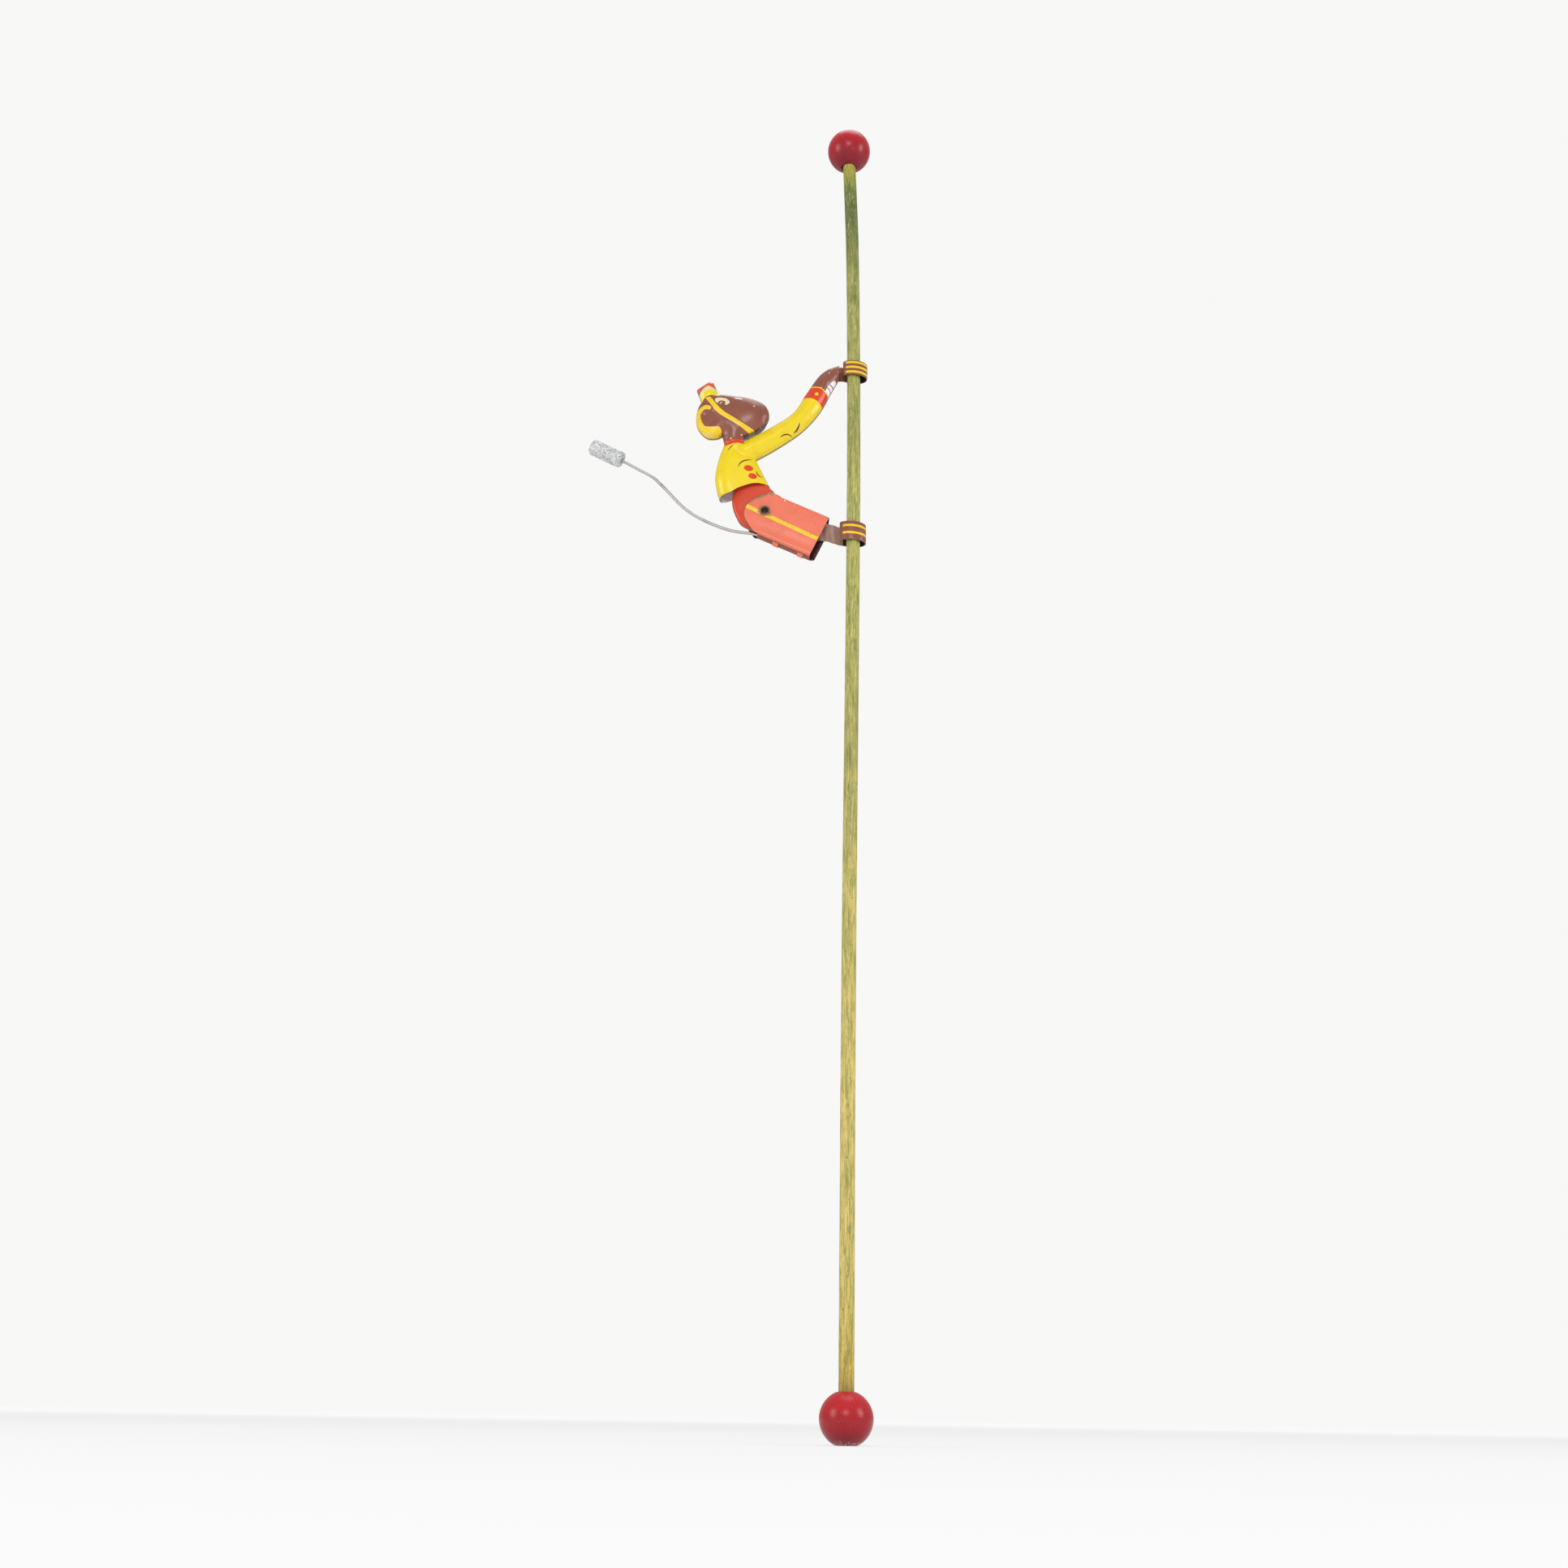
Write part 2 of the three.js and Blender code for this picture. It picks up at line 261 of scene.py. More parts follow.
    def ramp(
        self, value: object, stops: Sequence[tuple[float, Sequence[float]]]
    ) -> bpy.types.NodeSocket:
        """A colour ramp through display colours.

        Args:
            value: What the ramp reads.
            stops: Position from 0 to 1 and colour of each stop.

        Returns:
            The ramp's colour socket.
        """
        node = self.node("ShaderNodeValToRGB")
        self.feed(node.inputs[0], value)
        elements = node.color_ramp.elements
        while len(elements) < len(stops):
            elements.new(1.0)
        for element, (position, colour) in zip(elements, stops):
            element.position = position
            element.color = linear(colour)
        return node.outputs[0]

    def axis(self, name: str) -> bpy.types.NodeSocket:
        """One of the Object coordinates."""
        split = self.node("ShaderNodeSeparateXYZ")
        self.feed(split.inputs[0], self.place)
        return split.outputs[name]

    def bump(
        self, height: object, depth: float, strength: float = 1.0, below: object = None
    ) -> bpy.types.NodeSocket:
        """Relief from a height, stacked on another relief when one is given.

        Args:
            height: Height from 0 to 1.
            depth: Depth of the relief in millimetres.
            strength: Share of the relief that shows.
            below: Normal of the relief underneath.

        Returns:
            The normal socket.
        """
        node = self.node("ShaderNodeBump")
        node.inputs["Strength"].default_value = strength
        node.inputs["Distance"].default_value = depth * MM
        self.feed(node.inputs["Height"], height)
        if below is not None:
            self.feed(node.inputs["Normal"], below)
        return node.outputs[0]


class Recipe(Nodes):
    """A Geometry Nodes tree with named inputs, ended by Realize Instances and Set Material."""

    def __init__(self, name: str) -> None:
        """Starts an empty tree that takes and gives a geometry."""
        self.tree = bpy.data.node_groups.new(name, "GeometryNodeTree")
        for way in ("INPUT", "OUTPUT"):
            self.tree.interface.new_socket(
                name="Geometry", in_out=way, socket_type="NodeSocketGeometry"
            )
        self.named: dict[str, str] = {}
        self.start = self.node("NodeGroupInput")
        self.end = self.node("NodeGroupOutput")

    def input(self, name: str, kind: str = "NodeSocketFloat") -> bpy.types.NodeSocket:
        """Adds a named input and gives the socket that carries it in the tree."""
        socket = self.tree.interface.new_socket(name=name, in_out="INPUT", socket_type=kind)
        self.named[name] = socket.identifier
        return self.start.outputs[name]

    def link(self, source: bpy.types.NodeSocket, target: bpy.types.NodeSocket) -> None:
        """Links two sockets."""
        self.tree.links.new(source, target)

    def close(self, geometry: bpy.types.NodeSocket) -> None:
        """Ends the tree: instances realised, then the material set."""
        material = self.input("Material", "NodeSocketMaterial")
        realise = self.node("GeometryNodeRealizeInstances")
        paint = self.node("GeometryNodeSetMaterial")
        self.link(geometry, realise.inputs[0])
        self.link(realise.outputs[0], paint.inputs["Geometry"])
        self.link(material, paint.inputs["Material"])
        self.link(paint.outputs[0], self.end.inputs[0])

    def bake(self, obj: bpy.types.Object, **values: object) -> bpy.types.Mesh:
        """Runs the tree on an object and takes the result as a plain mesh.

        Args:
            obj: The object that the tree starts from; it is removed afterwards.
            **values: The named inputs; an underscore stands for a space.

        Returns:
            The finished mesh.
        """
        modifier = obj.modifiers.new("recipe", "NODES")
        modifier.node_group = self.tree
        for name, value in values.items():
            modifier[self.named[name.replace("_", " ")]] = value
        depsgraph = bpy.context.evaluated_depsgraph_get()
        mesh = bpy.data.meshes.new_from_object(obj.evaluated_get(depsgraph))
        obj.modifiers.remove(modifier)
        bpy.data.objects.remove(obj)
        return mesh


# ---- finishes -----------------------------------------------------------------------------------


@dataclass(frozen=True)
class PrintedTin:
    """Lithographed tin: printed ink under a thin varnish, scratched, and chipped at the folds."""

    name: str
    roughness: float = 0.30
    coat: float = 0.25
    chips: float = 0.668
    undercoat: tuple[int, int, int] = (176, 168, 158)

    def build(self) -> bpy.types.Material:
        """Makes the material; it reads the attributes paint and wear."""
        g = Graph(self.name)
        ink = g.attribute("paint")
        wear = g.attribute("wear", "Fac")
        cloud = g.noise(230, 4)
        ink = g.mix(g.steps(cloud, 0.48, 0.80), ink, (0.90, 0.88, 0.85, 1), "MULTIPLY")
        mottle = g.noise(2100, 2, 0.6)
        ink = g.mix(g.steps(mottle, 0.60, 0.80), ink, (0.90, 0.87, 0.86, 1), "MULTIPLY")
        dirt = g.steps(g.noise(1300, 2, 0.5), 0.75, 0.785)
        ink = g.mix(g.scaled(dirt, 0, 0.55), ink, linear((92, 72, 50)))
        hair = g.noise((5200, 5200, 240), 2, 0.5, turn=(0, 0.7, 0), distortion=0.3)
        hair = g.steps(hair, 0.76, 0.78)
        ink = g.mix(g.scaled(hair, 0, 0.45), ink, linear((240, 226, 200)))
        flake = g.maths("ADD", g.noise(1350, 5, 0.62), g.maths("MULTIPLY", wear, 0.15))
        chip = g.steps(flake, self.chips + 0.045, self.chips + 0.062)
        dark_rim = g.maths("SUBTRACT", g.steps(flake, self.chips + 0.02, self.chips + 0.04), chip)
        ink = g.mix(g.scaled(dark_rim, 0, 0.4), ink, linear((70, 48, 34)))
        g.set(
            Base_Color=g.mix(chip, ink, linear(self.undercoat)),
            Metallic=g.scaled(chip, 0.0, 0.75),
            Roughness=g.maths("ADD", g.scaled(cloud, self.roughness - 0.07, self.roughness + 0.1),
                              g.maths("MULTIPLY", chip, 0.18)),
            Coat_Weight=self.coat,
            Coat_Roughness=0.2,
            Specular_IOR_Level=0.4,
        )
        ripple = g.bump(g.noise(260, 2, 0.4), 0.022, 0.6)
        g.set(Normal=g.bump(chip, 0.012, -0.5, ripple))
        return g.material


@dataclass(frozen=True)
class BareTin:
    """The unprinted face of the sheet: dull grey with lacquer runs and fine rolling lines."""

    name: str
    # painted light: the near-white default tone brightens the shaded insides and the hand's scrape
    tone: tuple[int, int, int] = (250, 242, 246)
    stain: tuple[int, int, int] = (222, 208, 208)
    roughness: float = 0.42

    def build(self) -> bpy.types.Material:
        """Makes the material."""
        g = Graph(self.name)
        cloud = g.noise(300, 4, 0.6)
        rolling = g.noise((420, 420, 5200), 3, 0.6)
        colour = g.mix(g.steps(cloud, 0.42, 0.68), linear(self.tone), linear(self.stain))
        colour = g.mix(g.steps(rolling, 0.52, 0.75), colour, (0.86, 0.84, 0.83, 1), "MULTIPLY")
        spots = g.steps(g.noise(1900, 3), 0.66, 0.74)
        colour = g.mix(spots, colour, linear((78, 62, 50)))
        g.set(
            Base_Color=colour,
            Metallic=0.0,
            Roughness=g.scaled(rolling, self.roughness - 0.1, self.roughness + 0.12),
            Normal=g.bump(rolling, 0.01, 0.6),
        )
        return g.material


@dataclass(frozen=True)
class StainedWood:
    """A turned dowel under a thin green stain that has yellowed and worn with height."""

    name: str
    height: float
    bands: tuple[tuple[float, tuple[int, int, int]], ...] = (
        (8, (150, 112, 60)), (16, (178, 150, 72)), (22, (192, 168, 80)), (50, (204, 184, 106)),
        (110, (205, 186, 108)), (150, (194, 178, 102)), (178, (196, 180, 104)),
        (200, (180, 170, 100)), (235, (166, 160, 92)), (290, (174, 170, 96)),
        (330, (172, 168, 94)), (356, (156, 154, 86)), (400, (160, 158, 88)),
        (425, (146, 146, 82)), (440, (116, 122, 66)), (455, (92, 104, 56)),
        (466, (112, 124, 58)), (472, (154, 152, 66)), (479, (172, 154, 66)),
    )

    def build(self) -> bpy.types.Material:
        """Makes the material; colours change along the pole, grain runs along it."""
        g = Graph(self.name)
        drift = g.maths("MULTIPLY", g.maths("SUBTRACT", g.noise((300, 300, 60), 3), 0.5), 0.016)
        along = g.maths("DIVIDE", g.maths("ADD", g.axis("Z"), drift), self.height * MM)
        colour = g.ramp(along, [(z / self.height, rgb) for z, rgb in self.bands])
        grain = g.noise((1700, 1700, 95), 5, 0.66, distortion=0.6)
        fine = g.noise((4600, 4600, 420), 4, 0.66)
        colour = g.mix(g.steps(grain, 0.47, 0.64), colour, (1.30, 1.26, 1.14, 1), "MULTIPLY")
        colour = g.mix(g.steps(grain, 0.52, 0.36), colour, (0.58, 0.66, 0.50, 1), "MULTIPLY")
        blotch = g.noise((620, 620, 120), 3, 0.6)
        colour = g.mix(g.steps(blotch, 0.50, 0.64), colour, (0.80, 0.88, 0.74, 1), "MULTIPLY")
        colour = g.mix(g.steps(blotch, 0.46, 0.34), colour, (1.16, 1.10, 1.06, 1), "MULTIPLY")
        pores = g.steps(fine, 0.53, 0.66)
        colour = g.mix(g.scaled(pores, 0, 0.62), colour, linear((104, 112, 52)))
        flecks = g.steps(g.noise((1500, 1500, 260), 4, 0.6), 0.57, 0.66)
        colour = g.mix(g.scaled(flecks, 0, 0.5), colour, linear((92, 118, 66)))
        pale = g.steps(g.noise((2300, 2300, 330), 3, 0.6), 0.58, 0.68)
        colour = g.mix(g.scaled(pale, 0, 0.55), colour, linear((226, 216, 150)))
        nicks = g.steps(g.noise((1100, 1100, 520), 4, 0.6), 0.69, 0.72)
        colour = g.mix(nicks, colour, linear((52, 52, 34)))
        g.set(
            Base_Color=colour,
            Roughness=g.scaled(grain, 0.46, 0.66),
            Specular_IOR_Level=0.42,
            Normal=g.bump(fine, 0.03, 0.7, g.bump(grain, 0.06, 0.8)),
        )
        return g.material


@dataclass(frozen=True)
class Lacquer:
    """Red lacquer on a turned ball: glossy, crazed with fine scratches, scuffed at the foot."""

    name: str
    # painted light and shade: top is the lit crown's bright red, low the shaded underside's crimson
    top: tuple[int, int, int] = (204, 38, 46)
    low: tuple[int, int, int] = (118, 4, 22)
    middle_height: float = 0.0
    radius: float = 8.5
    scuffed_below: float = -1.0

    def build(self) -> bpy.types.Material:
        """Makes the material for a ball centred at middle_height on the pole."""
        g = Graph(self.name)
        # painted light and shade: colour runs by height from low below to top above, with random
        # blotches
        rise = g.maths("SUBTRACT", g.axis("Z"), (self.middle_height - self.radius) * MM)
        rise = g.maths("DIVIDE", rise, 2 * self.radius * MM)
        painted_light_by_height = g.maths("ADD", rise, g.scaled(g.noise(170, 3), -0.14, 0.14))
        middle = tuple((a * 0.6 + b * 0.4) for a, b in zip(self.top, self.low))
        colour = g.ramp(painted_light_by_height, [(0.05, self.low), (0.5, middle), (0.96, self.top)])
        rings = g.noise((260, 260, 2300), 3, 0.6)
        colour = g.mix(g.steps(rings, 0.56, 0.75), colour, (0.78, 0.72, 0.74, 1), "MULTIPLY")
        scratch = g.steps(g.noise((4300, 4300, 330), 2, 0.5, turn=(0, 0.5, 0.3)), 0.70, 0.73)
        cross = g.steps(g.noise((380, 4100, 4100), 2, 0.5, turn=(0.2, 0.9, 0)), 0.715, 0.74)
        marks = g.maths("MAXIMUM", scratch, cross)
        colour = g.mix(g.scaled(marks, 0, 0.42), colour, linear((236, 150, 140)))
        pits = g.steps(g.noise(2100, 3, 0.55), 0.70, 0.745)
        colour = g.mix(g.scaled(pits, 0, 0.7), colour, linear((84, 14, 20)))
        foot = g.steps(g.axis("Z"), self.scuffed_below * MM, (self.scuffed_below - 1.3) * MM)
        rubbed = g.steps(g.noise((1500, 1500, 260), 4, 0.6), 0.50, 0.60)
        scuff = g.maths("MULTIPLY", foot, rubbed)
        colour = g.mix(g.scaled(scuff, 0, 0.5), colour, linear((206, 176, 166)))
        g.set(
            Base_Color=colour,
            Roughness=g.maths("ADD", g.scaled(rings, 0.25, 0.33), g.maths("MULTIPLY", scuff, 0.3)),
            Specular_IOR_Level=0.37,
            Normal=g.bump(marks, 0.006, -0.4, g.bump(g.noise(300, 3), 0.012, 0.5)),
        )
        return g.material


@dataclass(frozen=True)
class CastMetal:
    """Soft cast metal: pale grey, sandy and pitted."""

    name: str

    def build(self) -> bpy.types.Material:
        """Makes the material."""
        g = Graph(self.name)
        sand = g.noise(1500, 5, 0.7)
        colour = g.ramp(sand, [(0.30, (110, 112, 114)), (0.42, (170, 172, 173)),
                               (0.54, (212, 213, 213)), (0.70, (246, 246, 246))])
        tarnish = g.steps(g.noise(420, 3), 0.55, 0.75)
        colour = g.mix(g.scaled(tarnish, 0, 0.5), colour, linear((132, 134, 130)))
        pits = g.steps(g.cells(1250), 0.17, 0.08)
        colour = g.mix(g.scaled(pits, 0, 0.8), colour, linear((72, 72, 72)))
        g.set(
            Base_Color=colour,
            Metallic=0.12,
            Roughness=g.scaled(sand, 0.36, 0.60),
            Normal=g.bump(sand, 0.16, 0.9, g.bump(pits, 0.08, -0.5)),
        )
        return g.material


@dataclass(frozen=True)
class Steel:
    """Drawn or rolled steel: bright, dulled in patches."""

    name: str
    bright: tuple[int, int, int] = (188, 184, 180)
    dull: tuple[int, int, int] = (104, 98, 94)
    rust: float = 0.1

    def build(self) -> bpy.types.Material:
        """Makes the material."""
        g = Graph(self.name)
        patch = g.noise(120, 4, 0.6)
        colour = g.mix(g.steps(patch, 0.50, 0.80), linear(self.bright), linear(self.dull))
        speck = g.steps(g.noise(1300, 3), 0.70, 0.76)
        colour = g.mix(g.scaled(speck, 0, self.rust), colour, linear((98, 62, 38)))
        g.set(
            Base_Color=colour,
            Metallic=0.92,
            Roughness=g.scaled(patch, 0.34, 0.46),
            Normal=g.bump(g.noise(600, 2), 0.002, 0.3),
        )
        return g.material


@dataclass(frozen=True)
class StudioPaper:
    """Matt white paper that glows a little with distance, so the floor ends without a line."""

    name: str = "studio_paper"

    def build(self) -> bpy.types.Material:
        """Makes the material."""
        g = Graph(self.name)
        reach = g.node("ShaderNodeVectorMath", operation="LENGTH")
        g.feed(reach.inputs[0], g.place)
        far = g.steps(reach.outputs["Value"], 0.5, 3.0)
        g.set(
            Base_Color=g.mix(g.noise(9, 3), (0.34, 0.34, 0.34, 1), (0.36, 0.36, 0.36, 1)),
            Roughness=0.95,
            Specular_IOR_Level=0.0,
            Emission_Color=(1, 1, 1, 1),
            Emission_Strength=g.scaled(far, 0.62, 0.778),
        )
        return g.material


# ---- flat patterns ------------------------------------------------------------------------------


def spline(points: Points | np.ndarray, spacing: float) -> np.ndarray:
    """A smooth line through points, in the plane or in space.

    Args:
        points: The points that it passes through.
        spacing: About how far apart the result's points lie.

    Returns:
        The line's points, both ends included.
    """
    p = np.array(points, float)
    last = len(p) - 1
    line = []
    for i in range(last):
        a, b, c, d = p[max(i - 1, 0)], p[i], p[i + 1], p[min(i + 2, last)]
        count = max(2, int(np.linalg.norm(c - b) / spacing))
        for k in range(count):
            t = k / count
            line.append(0.5 * (2 * b + (c - a) * t + (2 * a - 5 * b + 4 * c - d) * t * t
                               + (3 * b - a - 3 * c + d) * t ** 3))
    line.append(p[-1])
    return np.array(line)


def straight(points: Points | np.ndarray, spacing: float) -> np.ndarray:
    """A broken line through points, divided evenly between them."""
    p = np.array(points, float)
    line = []
    for a, b in zip(p, p[1:]):
        count = max(1, round(float(np.linalg.norm(b - a)) / spacing))
        line.extend(a + (b - a) * k / count for k in range(count))
    line.append(p[-1])
    return np.array(line)


def band(points: Points, width: float, taper: float = 0.0) -> list[tuple[float, float]]:
    """A stroke of a brush: the ring round a smooth line.

    Args:
        points: The line.
        width: Width in the middle.
        taper: 0 for a stroke of even width, 1 for one that ends in points.

    Returns:
        The ring's points.
    """
    line = spline(points, 0.5)
    along = np.gradient(line, axis=0)
    along /= np.linalg.norm(along, axis=1)[:, None] + 1e-12
    side = np.stack([-along[:, 1], along[:, 0]], 1)
    t = np.linspace(0, 1, len(line))
    half = width / 2 * (1 - taper * (2 * t - 1) ** 2 * 0.92)[:, None]
    return [tuple(v) for v in np.concatenate([line + side * half, (line - side * half)[::-1]])]


def rounded(points: Points) -> list[tuple[float, float]]:
    """A smooth ring through points."""
    line = spline([*points[-2:], *points, *points[:2]], 0.45)
    first = int(np.argmin(np.linalg.norm(line - np.array(points[0]), axis=1)))
    ends = np.linalg.norm(line[first + 5:] - np.array(points[0]), axis=1)
    return [tuple(v) for v in line[first:first + 5 + int(np.argmin(ends))]]


def curve(points: Points) -> list[tuple[float, float]]:
    """A smooth line through points, as pairs."""
    return [tuple(v) for v in spline(points, 0.5)]


def oval(
    x: float, z: float, wide: float, tall: float, turn: float = 0.0, count: int = 18
) -> list[tuple[float, float]]:
    """An ellipse as a ring of points.

    Args:
        x: Middle of the ellipse, along the first axis.
        z: Middle of the ellipse, along the second axis.
        wide: Full width.
        tall: Full height.
        turn: Turn in degrees.
        count: Number of points.

    Returns:
        The ring's points.
    """
    c, s = math.cos(math.radians(turn)), math.sin(math.radians(turn))
    ring = []
    for k in range(count):
        a = 2 * math.pi * k / count
        u, v = wide / 2 * math.cos(a), tall / 2 * math.sin(a)
        ring.append((x + u * c - v * s, z + u * s + v * c))
    return ring


def inside(points: np.ndarray, ring: np.ndarray) -> np.ndarray:
    """Which points lie inside a ring."""
    x, y = points[:, 0][:, None], points[:, 1][:, None]
    a, b = ring, np.roll(ring, -1, 0)
    crosses = (a[:, 1] > y) != (b[:, 1] > y)
    rise = np.where(a[:, 1] == b[:, 1], 1e-12, b[:, 1] - a[:, 1])
    at = a[:, 0] + (y - a[:, 1]) * (b[:, 0] - a[:, 0]) / rise
    return ((crosses & (x < at)).sum(1) % 2).astype(bool)


def on_sheet(points: np.ndarray, outline: np.ndarray, *holes: np.ndarray) -> np.ndarray:
    """Which points lie inside an outline and outside its holes."""
    keep = inside(points, outline)
    for hole in holes:
        keep &= ~inside(points, hole)
    return keep


def distance(points: np.ndarray, starts: np.ndarray, ends: np.ndarray) -> np.ndarray:
    """Distance from each point to the nearest of some segments."""
    nearest = np.full(len(points), np.inf)
    run = ends - starts
    length2 = (run ** 2).sum(1) + 1e-18
    for k in range(len(starts)):
        t = np.clip(((points - starts[k]) @ run[k]) / length2[k], 0, 1)
        gap = points - starts[k] - t[:, None] * run[k]
        nearest = np.minimum(nearest, (gap ** 2).sum(1))
    return np.sqrt(nearest)


@dataclass(frozen=True)
class Run:
    """A stretch of an outline: straight or smooth, with its edge folded over or left as cut."""

    points: tuple[tuple[float, float], ...]
    folded: bool = True
    smooth: bool = False


@dataclass(frozen=True)
class Patch:
    """An area printed in one ink, or scraped to the metal."""

    ink: Ink
    ring: tuple[tuple[float, float], ...]
    scraped: bool = False


class Pattern:
    """A flat sheet, cut to an outline and divided along the edges of what is printed on it."""

    def __init__(
        self,
        runs: Sequence[Run],
        ground: Ink,
        patches: Sequence[Patch] = (),
        holes: Sequence[Points] = (),
        pitch: float = 0.5,
    ) -> None:
        """Cuts and divides the sheet.

        Args:
            runs: The outline, in order, each run starting where the last one ends.
            ground: Ink wherever no patch lies.
            patches: Printed areas, each over the ones before it.
            holes: Rings that are cut out.
            pitch: About how far apart the sheet's points lie.
        """
        lines = [(spline if r.smooth else straight)(r.points, pitch) for r in runs]
        self.ring = np.concatenate([line[:-1] for line in lines])
        self.folds = [line for line, run in zip(lines, runs) if run.folded]
        cut = np.zeros((0, 2))
        self.fold_starts = np.concatenate([cut, *[f[:-1] for f in self.folds]])
        self.fold_ends = np.concatenate([cut, *[f[1:] for f in self.folds]])
        rings = [self.ring, *[np.array(h, float) for h in holes]]
        marks = [np.array(p.ring, float) for p in patches]
        self._divide(rings, marks, pitch)
        self._print(ground, patches)

    def _divide(self, rings: list[np.ndarray], marks: list[np.ndarray], pitch: float) -> None:
        """Fills the sheet with triangles that keep every ring and mark as an edge.

        Args:
            rings: The outline, then the holes.
            marks: Rings of the printed areas.
            pitch: About how far apart the sheet's points lie.
        """
        points, edges = [], []
        for ring in [*rings, *marks]:
            first = len(points)
            points.extend(ring)
            count = len(ring)
            edges.extend((first + k, first + (k + 1) % count) for k in range(count))
        for row in [row for depth in SHOULDER_DEPTHS for row in self._shoulders(depth)]:
            first = len(points)
            points.extend(row)
            edges.extend((first + k, first + k + 1) for k in range(len(row) - 1))
        starts = np.array([points[a] for a, _ in edges])
        ends = np.array([points[b] for _, b in edges])
        low, high = self.ring.min(0), self.ring.max(0)
        levels = np.arange(low[1], high[1], pitch * math.sqrt(3) / 2)
        grid = np.array([(x + (k % 2) * pitch / 2, z)
                         for k, z in enumerate(levels)
                         for x in np.arange(low[0], high[0], pitch)])
        grid = grid[distance(grid, starts, ends) > CLEAR_OF_EDGES * pitch]
        grid = grid[on_sheet(grid, *rings)]
        points = [Vector(p) for p in [*points, *grid]]
        flat, _, faces, *_ = delaunay_2d_cdt(points, edges, [], 0, 1e-5)
        self.flat = np.array([tuple(v) for v in flat])
        faces = np.array(faces)
        keep = on_sheet(self.flat[faces].mean(1), *rings)
        used, packed = np.unique(faces[keep], return_inverse=True)
        self.flat = self.flat[used]
        faces = packed.reshape(-1, 3)
        a, b, c = (self.flat[faces[:, k]] for k in range(3))
        area = (b[:, 0] - a[:, 0]) * (c[:, 1] - a[:, 1]) - (b[:, 1] - a[:, 1]) * (c[:, 0] - a[:, 0])
        faces[area < 0] = faces[area < 0][:, ::-1]
        self.faces = faces[np.abs(area) > 1e-9]

    def _shoulders(self, depth: float) -> list[np.ndarray]:
        """Lines that follow the folded edges at a depth, so that the folds come out even."""
        x, z = self.ring[:, 0], self.ring[:, 1]
        turn = np.sign(np.sum(x * np.roll(z, -1) - np.roll(x, -1) * z))
        found = []
        for fold in self.folds:
            along = np.gradient(fold, axis=0)
            along /= np.linalg.norm(along, axis=1)[:, None] + 1e-12
            row = fold + turn * depth * np.stack([-along[:, 1], along[:, 0]], 1)
            away = distance(row, self.ring, np.roll(self.ring, -1, 0))
            good = inside(row, self.ring) & (away > 0.85 * depth)
            pieces = np.split(row, np.nonzero(~good)[0])
            masks = np.split(good, np.nonzero(~good)[0])
            found += [part[mask] for part, mask in zip(pieces, masks) if mask.sum() > 2]
        return found

    def _print(self, ground: Ink, patches: Sequence[Patch]) -> None:
        """Gives each triangle its ink.

        Args:
            ground: Ink wherever no patch lies.
            patches: Printed areas, each over the ones before it.
        """
        centres = self.flat[self.faces].mean(1)
        self.paint = np.tile(np.array(ground.linear), (len(self.faces), 1))
        self.scraped = np.zeros(len(self.faces), bool)
        for patch in patches:
            covered = inside(centres, np.array(patch.ring, float))
            self.paint[covered] = patch.ink.linear
            self.scraped[covered] = patch.scraped

    def fold_distance(self) -> np.ndarray:
        """Distance of each point from the folded edges."""
        return distance(self.flat, self.fold_starts, self.fold_ends)

    def smoothed(self, heights: np.ndarray, share: np.ndarray, rounds: int) -> np.ndarray:
        """Evens out heights between neighbours.

        Args:
            heights: One height for each point.
            share: How much each point gives way, from 0 to 1.
            rounds: How often it is done.

        Returns:
            The new heights.
        """
        pairs = sides_of(self.faces)
        count = np.bincount(pairs[:, 0], minlength=len(heights)) + 1e-9
        result = heights.copy()
        for _ in range(rounds):
            mean = np.bincount(pairs[:, 0], result[pairs[:, 1]], len(result)) / count
            result += share * 0.6 * (mean - result)
        return result


def sides_of(faces: np.ndarray) -> np.ndarray:
    """The directed sides of triangles, all first sides before all second ones."""
    return np.concatenate([faces[:, [0, 1]], faces[:, [1, 2]], faces[:, [2, 0]]])


def border_edges(faces: np.ndarray) -> np.ndarray:
    """The directed edges of a triangle mesh that no second triangle shares."""
    keys = {(int(a), int(b)) for a, b in sides_of(faces)}
    return np.array([(a, b) for a, b in keys if (b, a) not in keys]).reshape(-1, 2)


# ---- sheets in space ----------------------------------------------------------------------------


